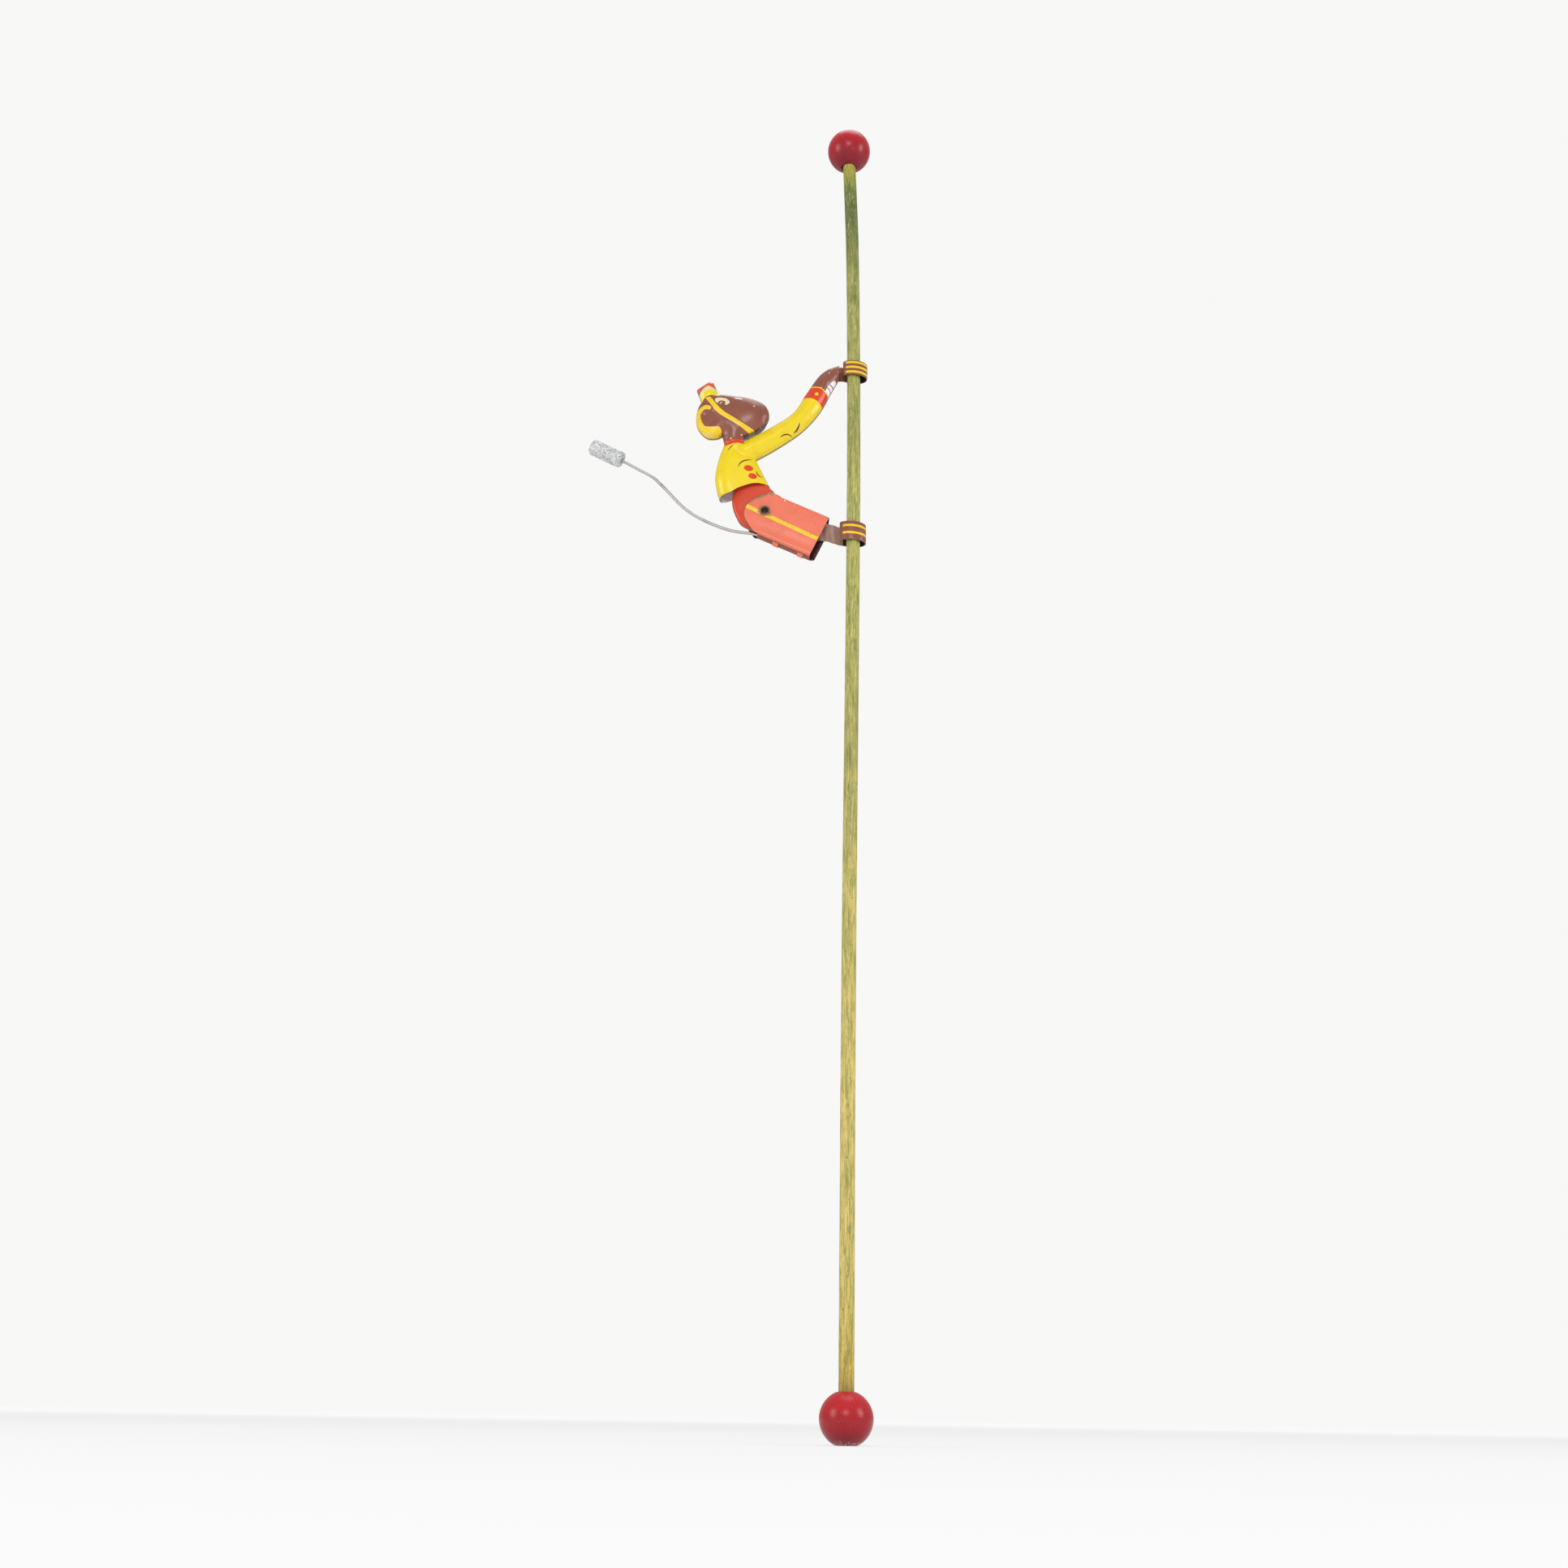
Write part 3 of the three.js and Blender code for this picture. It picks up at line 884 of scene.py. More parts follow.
@dataclass
class Sheet:
    """A sheet of tin in space, before and after it gets its thickness."""

    points: np.ndarray
    faces: np.ndarray
    paint: np.ndarray
    kind: np.ndarray
    wear: np.ndarray

    def joined(self, other: "Sheet") -> "Sheet":
        """This sheet and another as one."""
        return Sheet(
            np.concatenate([self.points, other.points]),
            np.concatenate([self.faces, other.faces + len(self.points)]),
            np.concatenate([self.paint, other.paint]),
            np.concatenate([self.kind, other.kind]),
            np.concatenate([self.wear, other.wear]),
        )

    def welded(self) -> "Sheet":
        """The same sheet with points that coincide made one."""
        keys = np.round(self.points * 2000).astype(np.int64)
        _, first, index = np.unique(keys, axis=0, return_index=True, return_inverse=True)
        index = index.ravel()
        faces = index[self.faces]
        a, b, c = faces.T
        good = (a != b) & (b != c) & (c != a)
        return Sheet(self.points[first], faces[good], self.paint[good], self.kind[good],
                     self.wear[first])

    def normals(self) -> np.ndarray:
        """A unit normal at each point."""
        a, b, c = (self.points[self.faces[:, k]] for k in range(3))
        across = np.cross(b - a, c - a)
        total = np.zeros_like(self.points)
        for k in range(3):
            np.add.at(total, self.faces[:, k], across)
        return total / (np.linalg.norm(total, axis=1)[:, None] + 1e-12)

    def thickened(self, thickness: float, inner: Ink, inner_kind: int) -> "Sheet":
        """A closed solid: this face, the same face set in by the thickness, and the cut edge.

        Args:
            thickness: Thickness of the tin.
            inner: Ink of the inner face.
            inner_kind: Material number of the inner face; the cut edge has number 2.

        Returns:
            The closed sheet.
        """
        count, faces = len(self.points), self.faces
        inner_points = self.points - self.normals() * thickness
        borders = border_edges(faces)
        rim = np.concatenate([
            np.stack([borders[:, 1], borders[:, 0], borders[:, 0] + count], 1),
            np.stack([borders[:, 1], borders[:, 0] + count, borders[:, 1] + count], 1),
        ])
        inner_paint = np.tile(np.array(inner.linear), (len(faces), 1))
        rim_paint = np.tile(np.array(Ink.TIN.linear), (len(rim), 1))
        return Sheet(
            np.concatenate([self.points, inner_points]),
            np.concatenate([faces, faces[:, ::-1] + count, rim]),
            np.concatenate([self.paint, inner_paint, rim_paint]),
            np.concatenate([self.kind, np.full(len(faces), inner_kind), np.full(len(rim), 2)]),
            np.concatenate([self.wear, self.wear * 0.5]),
        )

    def to_object(
        self, name: str, materials: Sequence[bpy.types.Material], sharp: float = 42.0
    ) -> bpy.types.Object:
        """Makes the object, in metres.

        Args:
            name: Name of the piece.
            materials: Printed face, scraped or bare face, and cut edge.
            sharp: Angle in degrees past which an edge stays crisp.

        Returns:
            The object, at the origin.
        """
        mesh = bpy.data.meshes.new(name)
        mesh.from_pydata((self.points * MM).tolist(), [], self.faces.tolist())
        for material in materials:
            mesh.materials.append(material)
        mesh.polygons.foreach_set("material_index", self.kind.astype(np.int32))
        ink = mesh.color_attributes.new("paint", "FLOAT_COLOR", "CORNER")
        ink.data.foreach_set("color", np.repeat(self.paint, 3, axis=0).astype(np.float32).ravel())
        wear = mesh.attributes.new("wear", "FLOAT", "POINT")
        wear.data.foreach_set("value", self.wear.astype(np.float32))
        return linked(name, mesh, sharp)


def linked(name: str, mesh: bpy.types.Mesh, sharp: float = 42.0) -> bpy.types.Object:
    """Links a mesh to the scene as a smooth-shaded object with crisp edges past an angle."""
    mesh.polygons.foreach_set("use_smooth", np.ones(len(mesh.polygons), bool))
    mesh.set_sharp_from_angle(angle=math.radians(sharp))
    mesh.update()
    obj = bpy.data.objects.new(name, mesh)
    bpy.context.scene.collection.objects.link(obj)
    return obj


@dataclass(frozen=True)
class Emboss:
    """A soft ridge or groove pressed along a line."""

    line: tuple[tuple[float, float], ...]
    width: float
    height: float

    def lift(self, flat: np.ndarray) -> np.ndarray:
        """How far the press lifts each point of a flat sheet."""
        path = spline(self.line, 0.8) if len(self.line) > 2 else straight(self.line, 0.8)
        return self.height * np.exp(-((distance(flat, path[:-1], path[1:]) / self.width) ** 2))


@dataclass
class Stamping:
    """One stamped half: a flat pattern pressed to depth, its folded edges turned to the joint."""

    pattern: Pattern
    depth: float
    rim: Callable[[np.ndarray], np.ndarray]
    reach: float
    wall_ends: Callable[[np.ndarray], np.ndarray]
    embosses: tuple[Emboss, ...] = ()
    rounder: Callable[[np.ndarray], np.ndarray] | None = None
    worn: Callable[[np.ndarray], np.ndarray] | None = None
    dents: float = 0.05
    tuck: tuple[tuple[float, float], ...] = ()
    dent_size: float = 5.5
    crown_reach: float = 1.4
    smooth_from: float = 0.5
    smooth_reach: float = 1.6
    smooth_rounds: int = 30
    fold_wear: float = 0.85
    wear_reach: float = 0.35

    def pressed(self, side: int, seed: float) -> Sheet:
        """Presses the pattern into a half shell.

        Args:
            side: -1 for the half on the viewer's side, 1 for the far half.
            seed: Shifts the small dents.

        Returns:
            The sheet, its printed face outward.
        """
        flat = self.pattern.flat
        away = self.pattern.fold_distance()
        reach = self.reach + (self.rounder(flat) if self.rounder else 0.0)
        t = np.clip(away / reach, 0, 1)
        rim = self.rim(flat)
        height = rim + (self.depth - rim) * np.sqrt(1 - (1 - t) ** 2)
        share = np.clip((away - self.smooth_from) / self.smooth_reach, 0, 1)
        height = self.pattern.smoothed(height, share, self.smooth_rounds)
        crown = np.clip(away / self.crown_reach, 0, 1)
        for emboss in self.embosses:
            height = height + crown * emboss.lift(flat)
        size = self.dent_size
        bumps = [noise.noise(Vector((x / size, z / size, seed))) for x, z in flat]
        height = height + crown * self.dents * np.array(bumps)
        points = np.stack([flat[:, 0], side * height, flat[:, 1]], 1)
        wear = self.fold_wear * np.exp(-away / self.wear_reach)
        if self.worn:
            wear = np.maximum(wear, self.worn(flat))
        faces = self.pattern.faces if side < 0 else self.pattern.faces[:, ::-1]
        top = Sheet(points, faces.copy(), self.pattern.paint.copy(),
                    self.pattern.scraped.astype(np.int64), wear)
        return self._walled(top, away, side)

    def _walled(self, top: Sheet, away: np.ndarray, side: int) -> Sheet:
        """Adds the turned edge, from the rim down to where the two halves meet.

        Args:
            top: The pressed face.
            away: Distance of each of its points from the folds.
            side: -1 for the half on the viewer's side, 1 for the far half.

        Returns:
            The face and its wall as one sheet.
        """
        borders = border_edges(top.faces)
        middle = (top.points[borders[:, 0]] + top.points[borders[:, 1]])[:, [0, 2]] / 2
        folds = self.pattern.fold_starts, self.pattern.fold_ends
        borders = borders[(distance(middle, *folds) < 0.02) & (away[borders] < 0.02).all(1)]
        if not len(borders):
            return top
        owner = {}
        for number, (a, b, c) in enumerate(top.faces):
            for pair in ((a, b), (b, c), (c, a)):
                owner[(int(pair[0]), int(pair[1]))] = number
        source = np.array([owner[(int(a), int(b))] for a, b in borders])
        ends = self.wall_ends(top.points[:, [0, 2]])
        sheet = self._row(top, borders, source, side * ends, 0.0)
        low = (top.points[borders, 2] < 0).all(1)
        if self.tuck and low.any():
            borders, source = sheet.edge[low], source[low]
            for share, drop in self.tuck:
                ends = side * share * np.abs(sheet.sheet.points[:, 1])
                step = self._row(sheet.sheet, borders, source, ends, drop)
                borders, sheet = step.edge, step
        return sheet.sheet

    @staticmethod
    def _row(
        top: Sheet, borders: np.ndarray, source: np.ndarray, ends: np.ndarray, drop: float
    ) -> "Row":
        """Adds one row of wall below a border.

        Args:
            top: The sheet so far.
            borders: Directed edges that the row starts from.
            source: Triangle beside each edge, which gives the row its ink.
            ends: Place across the joint where the row ends, for every point of the sheet.
            drop: How much lower the row ends.

        Returns:
            The new sheet and its new border.
        """
        used, packed = np.unique(borders, return_inverse=True)
        packed = packed.reshape(-1, 2) + len(top.points)
        low = top.points[used].copy()
        low[:, 1] = ends[used]
        low[:, 2] -= drop
        wall = np.concatenate([
            np.stack([borders[:, 1], borders[:, 0], packed[:, 0]], 1),
            np.stack([borders[:, 1], packed[:, 0], packed[:, 1]], 1),
        ])
        # painted shade: the wall rows take the ink of the face beside them, darkened to 35 per cent
        sheet = Sheet(
            np.concatenate([top.points, low]),
            np.concatenate([top.faces, wall]),
            np.concatenate([top.paint, *[top.paint[source] * WALL_PAINTED_SHADE] * 2]),
            np.concatenate([top.kind, np.zeros(len(wall), np.int64)]),
            np.concatenate([top.wear, np.full(len(low), WALL_WEAR)]),
        )
        return Row(sheet, packed)


@dataclass
class Row:
    """A sheet after a row of wall was added, and the row's free border."""

    sheet: Sheet
    edge: np.ndarray


def moved(sheet: Sheet, matrix: Matrix) -> Sheet:
    """The sheet turned and shifted by a matrix."""
    turn = np.array(matrix.to_3x3())
    sheet.points = sheet.points @ turn.T + np.array(matrix.translation)
    return sheet


def lathe(profile: Points, segments: int) -> tuple[np.ndarray, list[tuple[int, ...]]]:
    """Turns a profile about the upright axis.

    Args:
        profile: Radius and height of each ring, from the bottom up on the outside; a radius of 0
            closes the shape at a pole.
        segments: Number of steps round.

    Returns:
        The points and the faces, which point outward.
    """
    points, rings, faces = [], [], []
    for radius, height in profile:
        count = 1 if radius <= 1e-9 else segments
        rings.append(range(len(points), len(points) + count))
        for k in range(count):
            a = 2 * math.pi * k / segments
            points.append((radius * math.cos(a), radius * math.sin(a), height))
    for low, high in zip(rings, rings[1:]):
        for k in range(segments):
            n = (k + 1) % segments
            if len(low) == 1 and len(high) > 1:
                faces.append((low[0], high[n], high[k]))
            elif len(high) == 1 and len(low) > 1:
                faces.append((low[k], low[n], high[0]))
            elif len(low) > 1:
                faces.append((low[k], low[n], high[n], high[k]))
    return np.array(points), faces


def mesh_object(
    name: str,
    points: np.ndarray,
    faces: list[tuple[int, ...]],
    material: bpy.types.Material,
    sharp: float = 42.0,
) -> bpy.types.Object:
    """An object with one material.

    Args:
        name: Name of the object.
        points: Its points, in millimetres.
        faces: Its faces.
        material: Its material.
        sharp: Angle in degrees past which an edge stays crisp.

    Returns:
        The object, at the origin.
    """
    mesh = bpy.data.meshes.new(name)
    mesh.from_pydata((points * MM).tolist(), [], faces)
    mesh.materials.append(material)
    return linked(name, mesh, sharp)


def dress(obj: bpy.types.Object, body: str, slot: str, *nodes: str) -> bpy.types.Object:
    """Hands a finished piece to the frame.

    Args:
        obj: The piece.
        body: Body that it moves with.
        slot: Material slot that it stands for; not used.
        *nodes: Frame nodes that it replaces.

    Returns:
        The piece.
    """
    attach(obj, body)
    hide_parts(*nodes)
    LOG.info("%s: %d faces, rides on %s", obj.name, len(obj.data.polygons), body)
    return obj


# ---- the pole -----------------------------------------------------------------------------------


@dataclass
class Pole:
    """The dowel and the two balls at its ends."""

    dowel_radius: float = 2.5
    bore_radius: float = 2.8
    flat_radius: float = 3.4
    grain_depth: float = 0.028
    eased: float = 0.4
    stained_past: float = 8.5
    segments: int = 72
    bow: tuple[tuple[float, float], ...] = (
        (0, 0), (110, 0), (175, 0.3), (236, 0.85), (298, 1.45), (340, 1.65), (377, 1.5),
        (417, 1.15), (445, 0.7), (463, 0.0), (478, -0.85), (486, -1.15), (500, -1.3),
    )

    def bent(self, points: np.ndarray) -> np.ndarray:
        """Moves points sideways, as the dowel has warped with age."""
        heights, shifts = zip(*self.bow)
        line = np.array(shifts)
        for _ in range(2):
            line[1:-1] = 0.25 * line[:-2] + 0.5 * line[1:-1] + 0.25 * line[2:]
        points[:, 0] += np.interp(points[:, 2], heights, line)
        return points

    def build(self) -> None:
        """Makes the dowel and both balls."""
        self._dowel()
        for node, name, flip in (("bottom_ball", "lower_ball", 1), ("top_ball", "upper_ball", -1)):
            self._ball(node, name, flip)

    def _dowel(self) -> None:
        """A turned stick with a lightly raised grain and eased ends."""
        low, high = span_of("pole_dowel", 2)
        ends = self.eased
        body = np.linspace(low + ends, high - ends, 420)
        profile = [(0, low), (self.dowel_radius - ends, low)]
        profile += [(self.dowel_radius, z) for z in body]
        profile += [(self.dowel_radius - ends, high), (0, high)]
        points, faces = lathe(profile, 48)
        for p in points:
            radius = math.hypot(p[0], p[1])
            if radius > 1:
                raised = noise.noise(Vector((p[0] * 1.5, p[1] * 1.5, p[2] * 0.045)))
                scale = 1 - self.grain_depth * (0.5 - 0.5 * raised) / radius
                p[0] *= scale
                p[1] *= scale
        points = self.bent(points)
        wood = StainedWood("green_stained_wood", height=high + self.stained_past).build()
        dress(mesh_object("dowel", points, faces, wood), "pole", "green_dowel", "pole_dowel")

    def _ball(self, node: str, name: str, flip: int) -> None:
        """A turned ball, bored for the dowel; the lower one has a sanded flat to stand on.

        Args:
            node: Frame node that it replaces.
            name: Name of the piece.
            flip: 1 for the lower ball, -1 for the upper one, whose bore points down.
        """
        low, high = span_of(node, 0)
        radius = (high - low) / 2
        bottom, top = span_of(node, 2)
        flat = self.flat_radius if flip > 0 else 0.0
        centre = bottom + math.sqrt(radius ** 2 - flat ** 2) if flip > 0 else top - radius
        first = math.asin(flat / radius)
        last = math.pi - math.asin((self.bore_radius + 0.25) / radius)
        profile = [(0, -radius * math.cos(first))] if flat else []
        if flat:
            profile.append((flat - 0.25, -radius * math.cos(first)))
            first += 0.02
        for k in range(61):
            turn = first + (last - first) * k / 60
            profile.append((radius * math.sin(turn), -radius * math.cos(turn)))
        rim = -radius * math.cos(last)
        profile += [(self.bore_radius, rim - 0.3), (self.bore_radius, -0.3), (0, -0.3)]
        points, faces = lathe(profile, self.segments)
        for p in points:
            size = math.hypot(p[0], p[1], p[2])
            if size > radius * 0.9 and p[2] > -radius * 0.9:
                swell = noise.noise(Vector(p) / 4.5 + Vector((7.0 * flip, 0, 0)))
                p[:] = p * (1 - 0.0022 * (1 + swell))
        if flip < 0:
            points *= (1, -1, -1)
        points[:, 2] += centre
        points[:, 0] += self.bent(np.array(((0.0, 0.0, centre - 5.0 * (flip < 0)),)))[0, 0]
        lacquer = Lacquer(
            f"{name}_lacquer",
            middle_height=centre,
            radius=radius,
            scuffed_below=1.9 if flip > 0 else -50.0,
        ).build()
        dress(mesh_object(name, points, faces, lacquer), "pole", "red_ball", node)


# ---- the monkey's body --------------------------------------------------------------------------


@dataclass
class Torso:
    """Jacket, head and arm, stamped in two halves and printed on both."""

    near_depth: float = 3.9
    far_depth: float = 3.3
    rim: float = 0.45
    chin_wall: float = 1.5
    fold_reach: float = 3.7
    head_reach: float = 2.6
    pitch: float = 0.46
    runs: tuple[Run, ...] = field(default_factory=lambda: (
        Run(((1.62, 10.9), (-3.8, 22.3))),
        Run(((-3.8, 22.3), (3.7, 27.2), (13.2, 34.7), (19.7, 42.8), (24, 51.4)), smooth=True),
        Run(((24, 51.4), (HAND_END, 57.8))),
        Run(((HAND_END, 57.8), (HAND_END, 63.2)), folded=False),
        Run(((HAND_END, 63.2), (23, 61.6))),
        Run(((23, 61.6), (19.3, 58.2), (14.5, 50.3), (10.1, 42.6), (3.5, 37.2), (-8.2, 29.6)),
            smooth=True),
        Run(((-8.2, 29.6), (-8.7, 31.5))),
        Run(((-8.7, 31.5), (-3.5, 34.4), (0, 38), (0.9, 42), (-1.2, 46), (-6.9, 48.5),
             (-13, 49.4), (-18.3, 50)), smooth=True),
        Run(((-18.3, 50), (-20.3, 54.8), (-22.4, 55.2), (-26.7, 51.8), (-24.9, 46.8))),
        Run(((-24.9, 46.8), (-26.5, 41.5), (-26, 35.8), (-22.3, 31.5), (-18, 31.4)), smooth=True),
        Run(((-18, 31.4), (-16.5, 32.4), (-15.6, 28.4))),
        Run(((-15.6, 28.4), (-17.6, 22.2), (-18.7, 14.8), (-17.8, 8.5)), smooth=True),
        Run(((-17.8, 8.5), (-16.85, 5.45))),
        Run(((-16.85, 5.45), (-12.8, 7), (-9.8, 8.9), (-5, 10.7), (-1, 11.1), (1.62, 10.9)),
            folded=False, smooth=True),
    ))

    def decoration(self) -> list[Patch]:
        """What is printed on the jacket, head and arm, in the order it was printed."""
        collar = ((-18, 29.4), (-14.5, 29.0), (-12.7, 29.8), (-8.4, 29.8))
        head = ((-30, 29.4), *collar, (-8.45, 30.6), (-3.4, 33.5), (0.2, 36.4), (4, 40),
                (4, 60), (-30, 60))
        cuff_low = curve(((11, 47.6), (13.6, 47.8), (15.6, 47.5), (18.0, 46.6), (19.9, 45.4),
                          (21.3, 44.2), (23.5, 42)))
        cuff_high = curve(((26, 46.4), (23.5, 48.5), (22.3, 49.9), (20.7, 51.1), (18.6, 52.1),
                           (16.4, 52.7), (13, 53.2)))
        piping = tuple((x + 0.16, z + 0.42) for x, z in cuff_high)
        base = (*curve(((-26.4, 43.6), (-24.7, 45.4), (-23.6, 47.4), (-21.8, 48.4),
                        (-18.1, 48.8), (-15.5, 49.2))), (-16, 60), (-30, 60), (-30, 44))
        cream = (*curve(((-26.4, 45.6), (-25.2, 47.2), (-24.2, 49.2), (-22.8, 50.4),
                         (-21.0, 51.0), (-18.6, 50.3), (-16, 49.9))),
                 (-16, 60), (-30, 60), (-30, 46))
        seam = ((-28, 46.4), (-26.3, 48.7), (-24.3, 51.5), (-22.3, 52.8), (-20.7, 52.1),
                (-18.9, 51.6), (-16, 51))
        coral = (*curve(seam), (-16, 60), (-30, 60))
        ear = ((-21.0, 42.9), (-22.9, 43.9), (-24.9, 43.2), (-27, 40.6), (-27.4, 37), (-27, 33),
               (-24.5, 30.2), (-21.6, 29.4), (-18.5, 29.6), (-17.1, 31.2), (-16.8, 33.2),
               (-17.8, 34.8), (-20.2, 34.7), (-23.0, 35.1), (-24.3, 37.1), (-24.9, 39.5),
               (-24.2, 41.3), (-22.9, 42.0), (-21.3, 41.7))
        eye = ((-19.6, 46.4), (-18.7, 47.1), (-17.2, 47.3), (-15.6, 47.0), (-14.4, 46.0),
               (-14.0, 44.9), (-15.2, 43.8), (-15.8, 44.1), (-15.6, 45.1), (-16.2, 45.8),
               (-17.3, 46.0), (-18.2, 45.5), (-18.5, 44.7), (-19.3, 45.2))
        strap = ((-21.6, 47.6), (-19.7, 45.1), (-17.9, 42.8), (-15.8, 40.8), (-12.7, 38.7),
                 (-8.9, 36.2), (-5.9, 34.5), (-3.2, 32.8), (-4.5, 31.4), (-8.0, 33.5),
                 (-11.1, 35.6), (-14.1, 37.4), (-17.6, 39.8), (-19.8, 42.0), (-21.6, 44.8),
                 (-23.2, 47.3))
        scrape = ((21.9, 50.9), (23.2, 49.6), (24.4, 51.0), (26.2, 54.2), (26.6, 55.4),
                  (25.6, 56.0), (24.4, 55.2), (22.8, 53.0))
        patches = [
            Patch(Ink.BROWN, head),
            Patch(Ink.RED, (*collar, (-8.4, 28.2), (-10.6, 28.2), (-12.4, 27.8), (-14.2, 27.2),
                            (-18, 26.2))),
            Patch(Ink.BROWN, (*piping, (13, 66), (30, 66), (30, 46))),
            Patch(Ink.RED, (*cuff_low, *cuff_high)),
            Patch(Ink.GOLD, (*cuff_high, *piping[::-1])),
            Patch(Ink.YELLOW, base),
            Patch(Ink.CREAM, cream),
            Patch(Ink.CORAL, coral),
            Patch(Ink.MAROON, band(seam, 0.3)),
            Patch(Ink.GOLD, rounded(strap)),
            Patch(Ink.GOLD, rounded(ear)),
            Patch(Ink.PALE_YELLOW, band(((-24.0, 32.6), (-22.2, 31.7), (-19.6, 31.6)), 1.8, 0.8)),
            Patch(Ink.EYE_WHITE, rounded(eye)),
            Patch(Ink.EYE_WHITE, band(((-17.7, 44.2), (-17.3, 45.0), (-16.8, 45.3)), 0.4, 0.6)),
            Patch(Ink.EYE_WHITE, rounded(((-12.4, 47.4), (-11.1, 47.7), (-9.4, 47.3),
                                          (-9.5, 46.8), (-11.3, 47.0)))),
            Patch(Ink.RED, oval(-6.3, 17.0, 3.5, 2.5, -12)),
            Patch(Ink.RED, oval(-4.7, 13.7, 3.3, 2.4, -14)),
            Patch(Ink.GOLD, oval(18.65, 48.95, 1.5, 1.4)),
            Patch(Ink.TIN, scrape, scraped=True),
            Patch(Ink.SHADE, band(((22.5, 52.6), (23.4, 51.9), (24.3, 50.9)), 0.35)),
            Patch(Ink.SHADE, band(((23.6, 54.0), (24.6, 53.3), (25.6, 53.1)), 0.45)),
        ]
        lines = (
            (((-14.3, 24.3), (-13.2, 25.9), (-12.0, 26.9)), 0.42),
            (((-10.3, 17.4), (-9.3, 19.2), (-7.8, 20.2), (-4.9, 20.9)), 0.55),
            (((-3.3, 16.1), (-2.9, 14.6), (-1.8, 13.8), (-0.5, 13.7)), 0.5),
            (((5.2, 30.7), (6.6, 31.7), (8.1, 32.1), (9.8, 31.8)), 0.46),
            (((10.3, 32.9), (11.5, 34.4), (12.2, 35.9), (12.2, 37.3)), 0.62),
        )
        patches += [Patch(Ink.DARK, band(path, width, taper=1.0)) for path, width in lines]
        chips = ((-4.8, 43.4, 0.9, 0.45), (-13.2, 29.9, 0.7, 0.5), (23.3, 58.6, 0.6, 0.5),
                 (-9.3, 31.6, 0.5, 0.7), (5.6, 27.3, 0.6, 0.6), (2.7, 26.2, 0.5, 0.4))
        patches += [Patch(Ink.EYE_WHITE, oval(*chip, turn=20, count=9)) for chip in chips]
        return patches

    def relief(self) -> tuple[Emboss, ...]:
        """Ridges and grooves pressed into each half."""
        return (
            Emboss(((-21.2, 42.3), (-23.9, 42.6), (-25.2, 39.5), (-25.0, 35.6), (-22.8, 32.8),
                    (-19.2, 32.4)), 0.95, 0.5),
            Emboss(((-22.4, 39.6), (-20.6, 37.2)), 2.0, -0.75),
            Emboss(((-17.6, 45.4), (-16.6, 45.2)), 1.3, -0.28),
            Emboss(((-19.5, 47.8), (-16.5, 48.3), (-13.4, 47.6)), 0.9, 0.25),
            Emboss(((-22.4, 46.6), (-16.6, 40.6), (-8.5, 34.8), (-4.2, 32.4)), 0.75, 0.22),
            Emboss(((-6.0, 41.5), (-3.5, 39.5)), 4.5, 0.45),
            Emboss(((-14.5, 36.2), (-11.0, 34.0)), 2.4, 0.30),
            Emboss(((-17.0, 27.6), (-12.5, 28.7), (-8.5, 28.6)), 1.0, -0.45),
            Emboss(((-25.0, 46.0), (-22.0, 48.2), (-18.2, 49.2)), 0.6, -0.32),
            Emboss(((-3.8, 22.3), (-8.2, 22.9), (-11.2, 25.0)), 1.3, -0.6),
            Emboss(((-7.5, 25.8), (3.0, 31.6), (12.0, 38.8), (18.0, 47.0), (21.8, 55.0)), 1.9, 0.4),
            Emboss(((10.3, 32.9), (11.9, 35.4), (12.2, 37.3)), 0.6, -0.16),
            Emboss(((5.2, 30.7), (7.4, 32.0), (9.8, 31.8)), 0.6, -0.14),
            Emboss(((13.2, 47.6), (18.0, 46.5), (21.6, 43.9)), 0.35, 0.14),
            Emboss(((16.2, 53.0), (20.8, 51.4), (23.7, 48.6)), 0.35, -0.16),
            Emboss(((-13.5, 20.0), (-14.0, 12.0)), 3.2, 0.25),
        )

    def _rim(self, flat: np.ndarray) -> np.ndarray:
        """Depth of the upright wall along the folds; it is deepest under the chin."""
        chin = np.array(((-8.7, 31.5), (-3.5, 34.4), (-1.0, 36.4)))
        near = distance(flat, chin[:-1], chin[1:])
        return self.rim + self.chin_wall * np.exp(-((near / 1.5) ** 2))

    def build(self, materials: Sequence[bpy.types.Material]) -> None:
        """Stamps both halves.

        Args:
            materials: Printed face, bare face and cut edge.
        """
        pattern = Pattern(self.runs, Ink.YELLOW, self.decoration(), pitch=self.pitch)
        halves = (
            ("near_half", "torso_near_shell", -1, self.near_depth, 3.7),
            ("far_half", "torso_far_shell", 1, self.far_depth, 11.3),
        )
        for name, node, side, depth, seed in halves:
            stamping = Stamping(
                pattern,
                depth=depth,
                rim=self._rim,
                reach=self.fold_reach,
                wall_ends=lambda flat: np.full(len(flat), JOINT_GAP),
                embosses=self.relief(),
                rounder=lambda flat: self.head_reach * np.clip((flat[:, 1] - 29) / 5, 0, 1)
                * np.clip((3 - flat[:, 0]) / 3, 0, 1),
                worn=lambda flat: 0.35 * np.clip((flat[:, 1] - 56) / 4, 0, 1),
            )
            sheet = stamping.pressed(side, seed).thickened(TIN, Ink.TIN, 1)
            moved(sheet, Matrix.Translation(HIP))
            dress(sheet.to_object(name, materials), "torso", "yellow_litho", node)


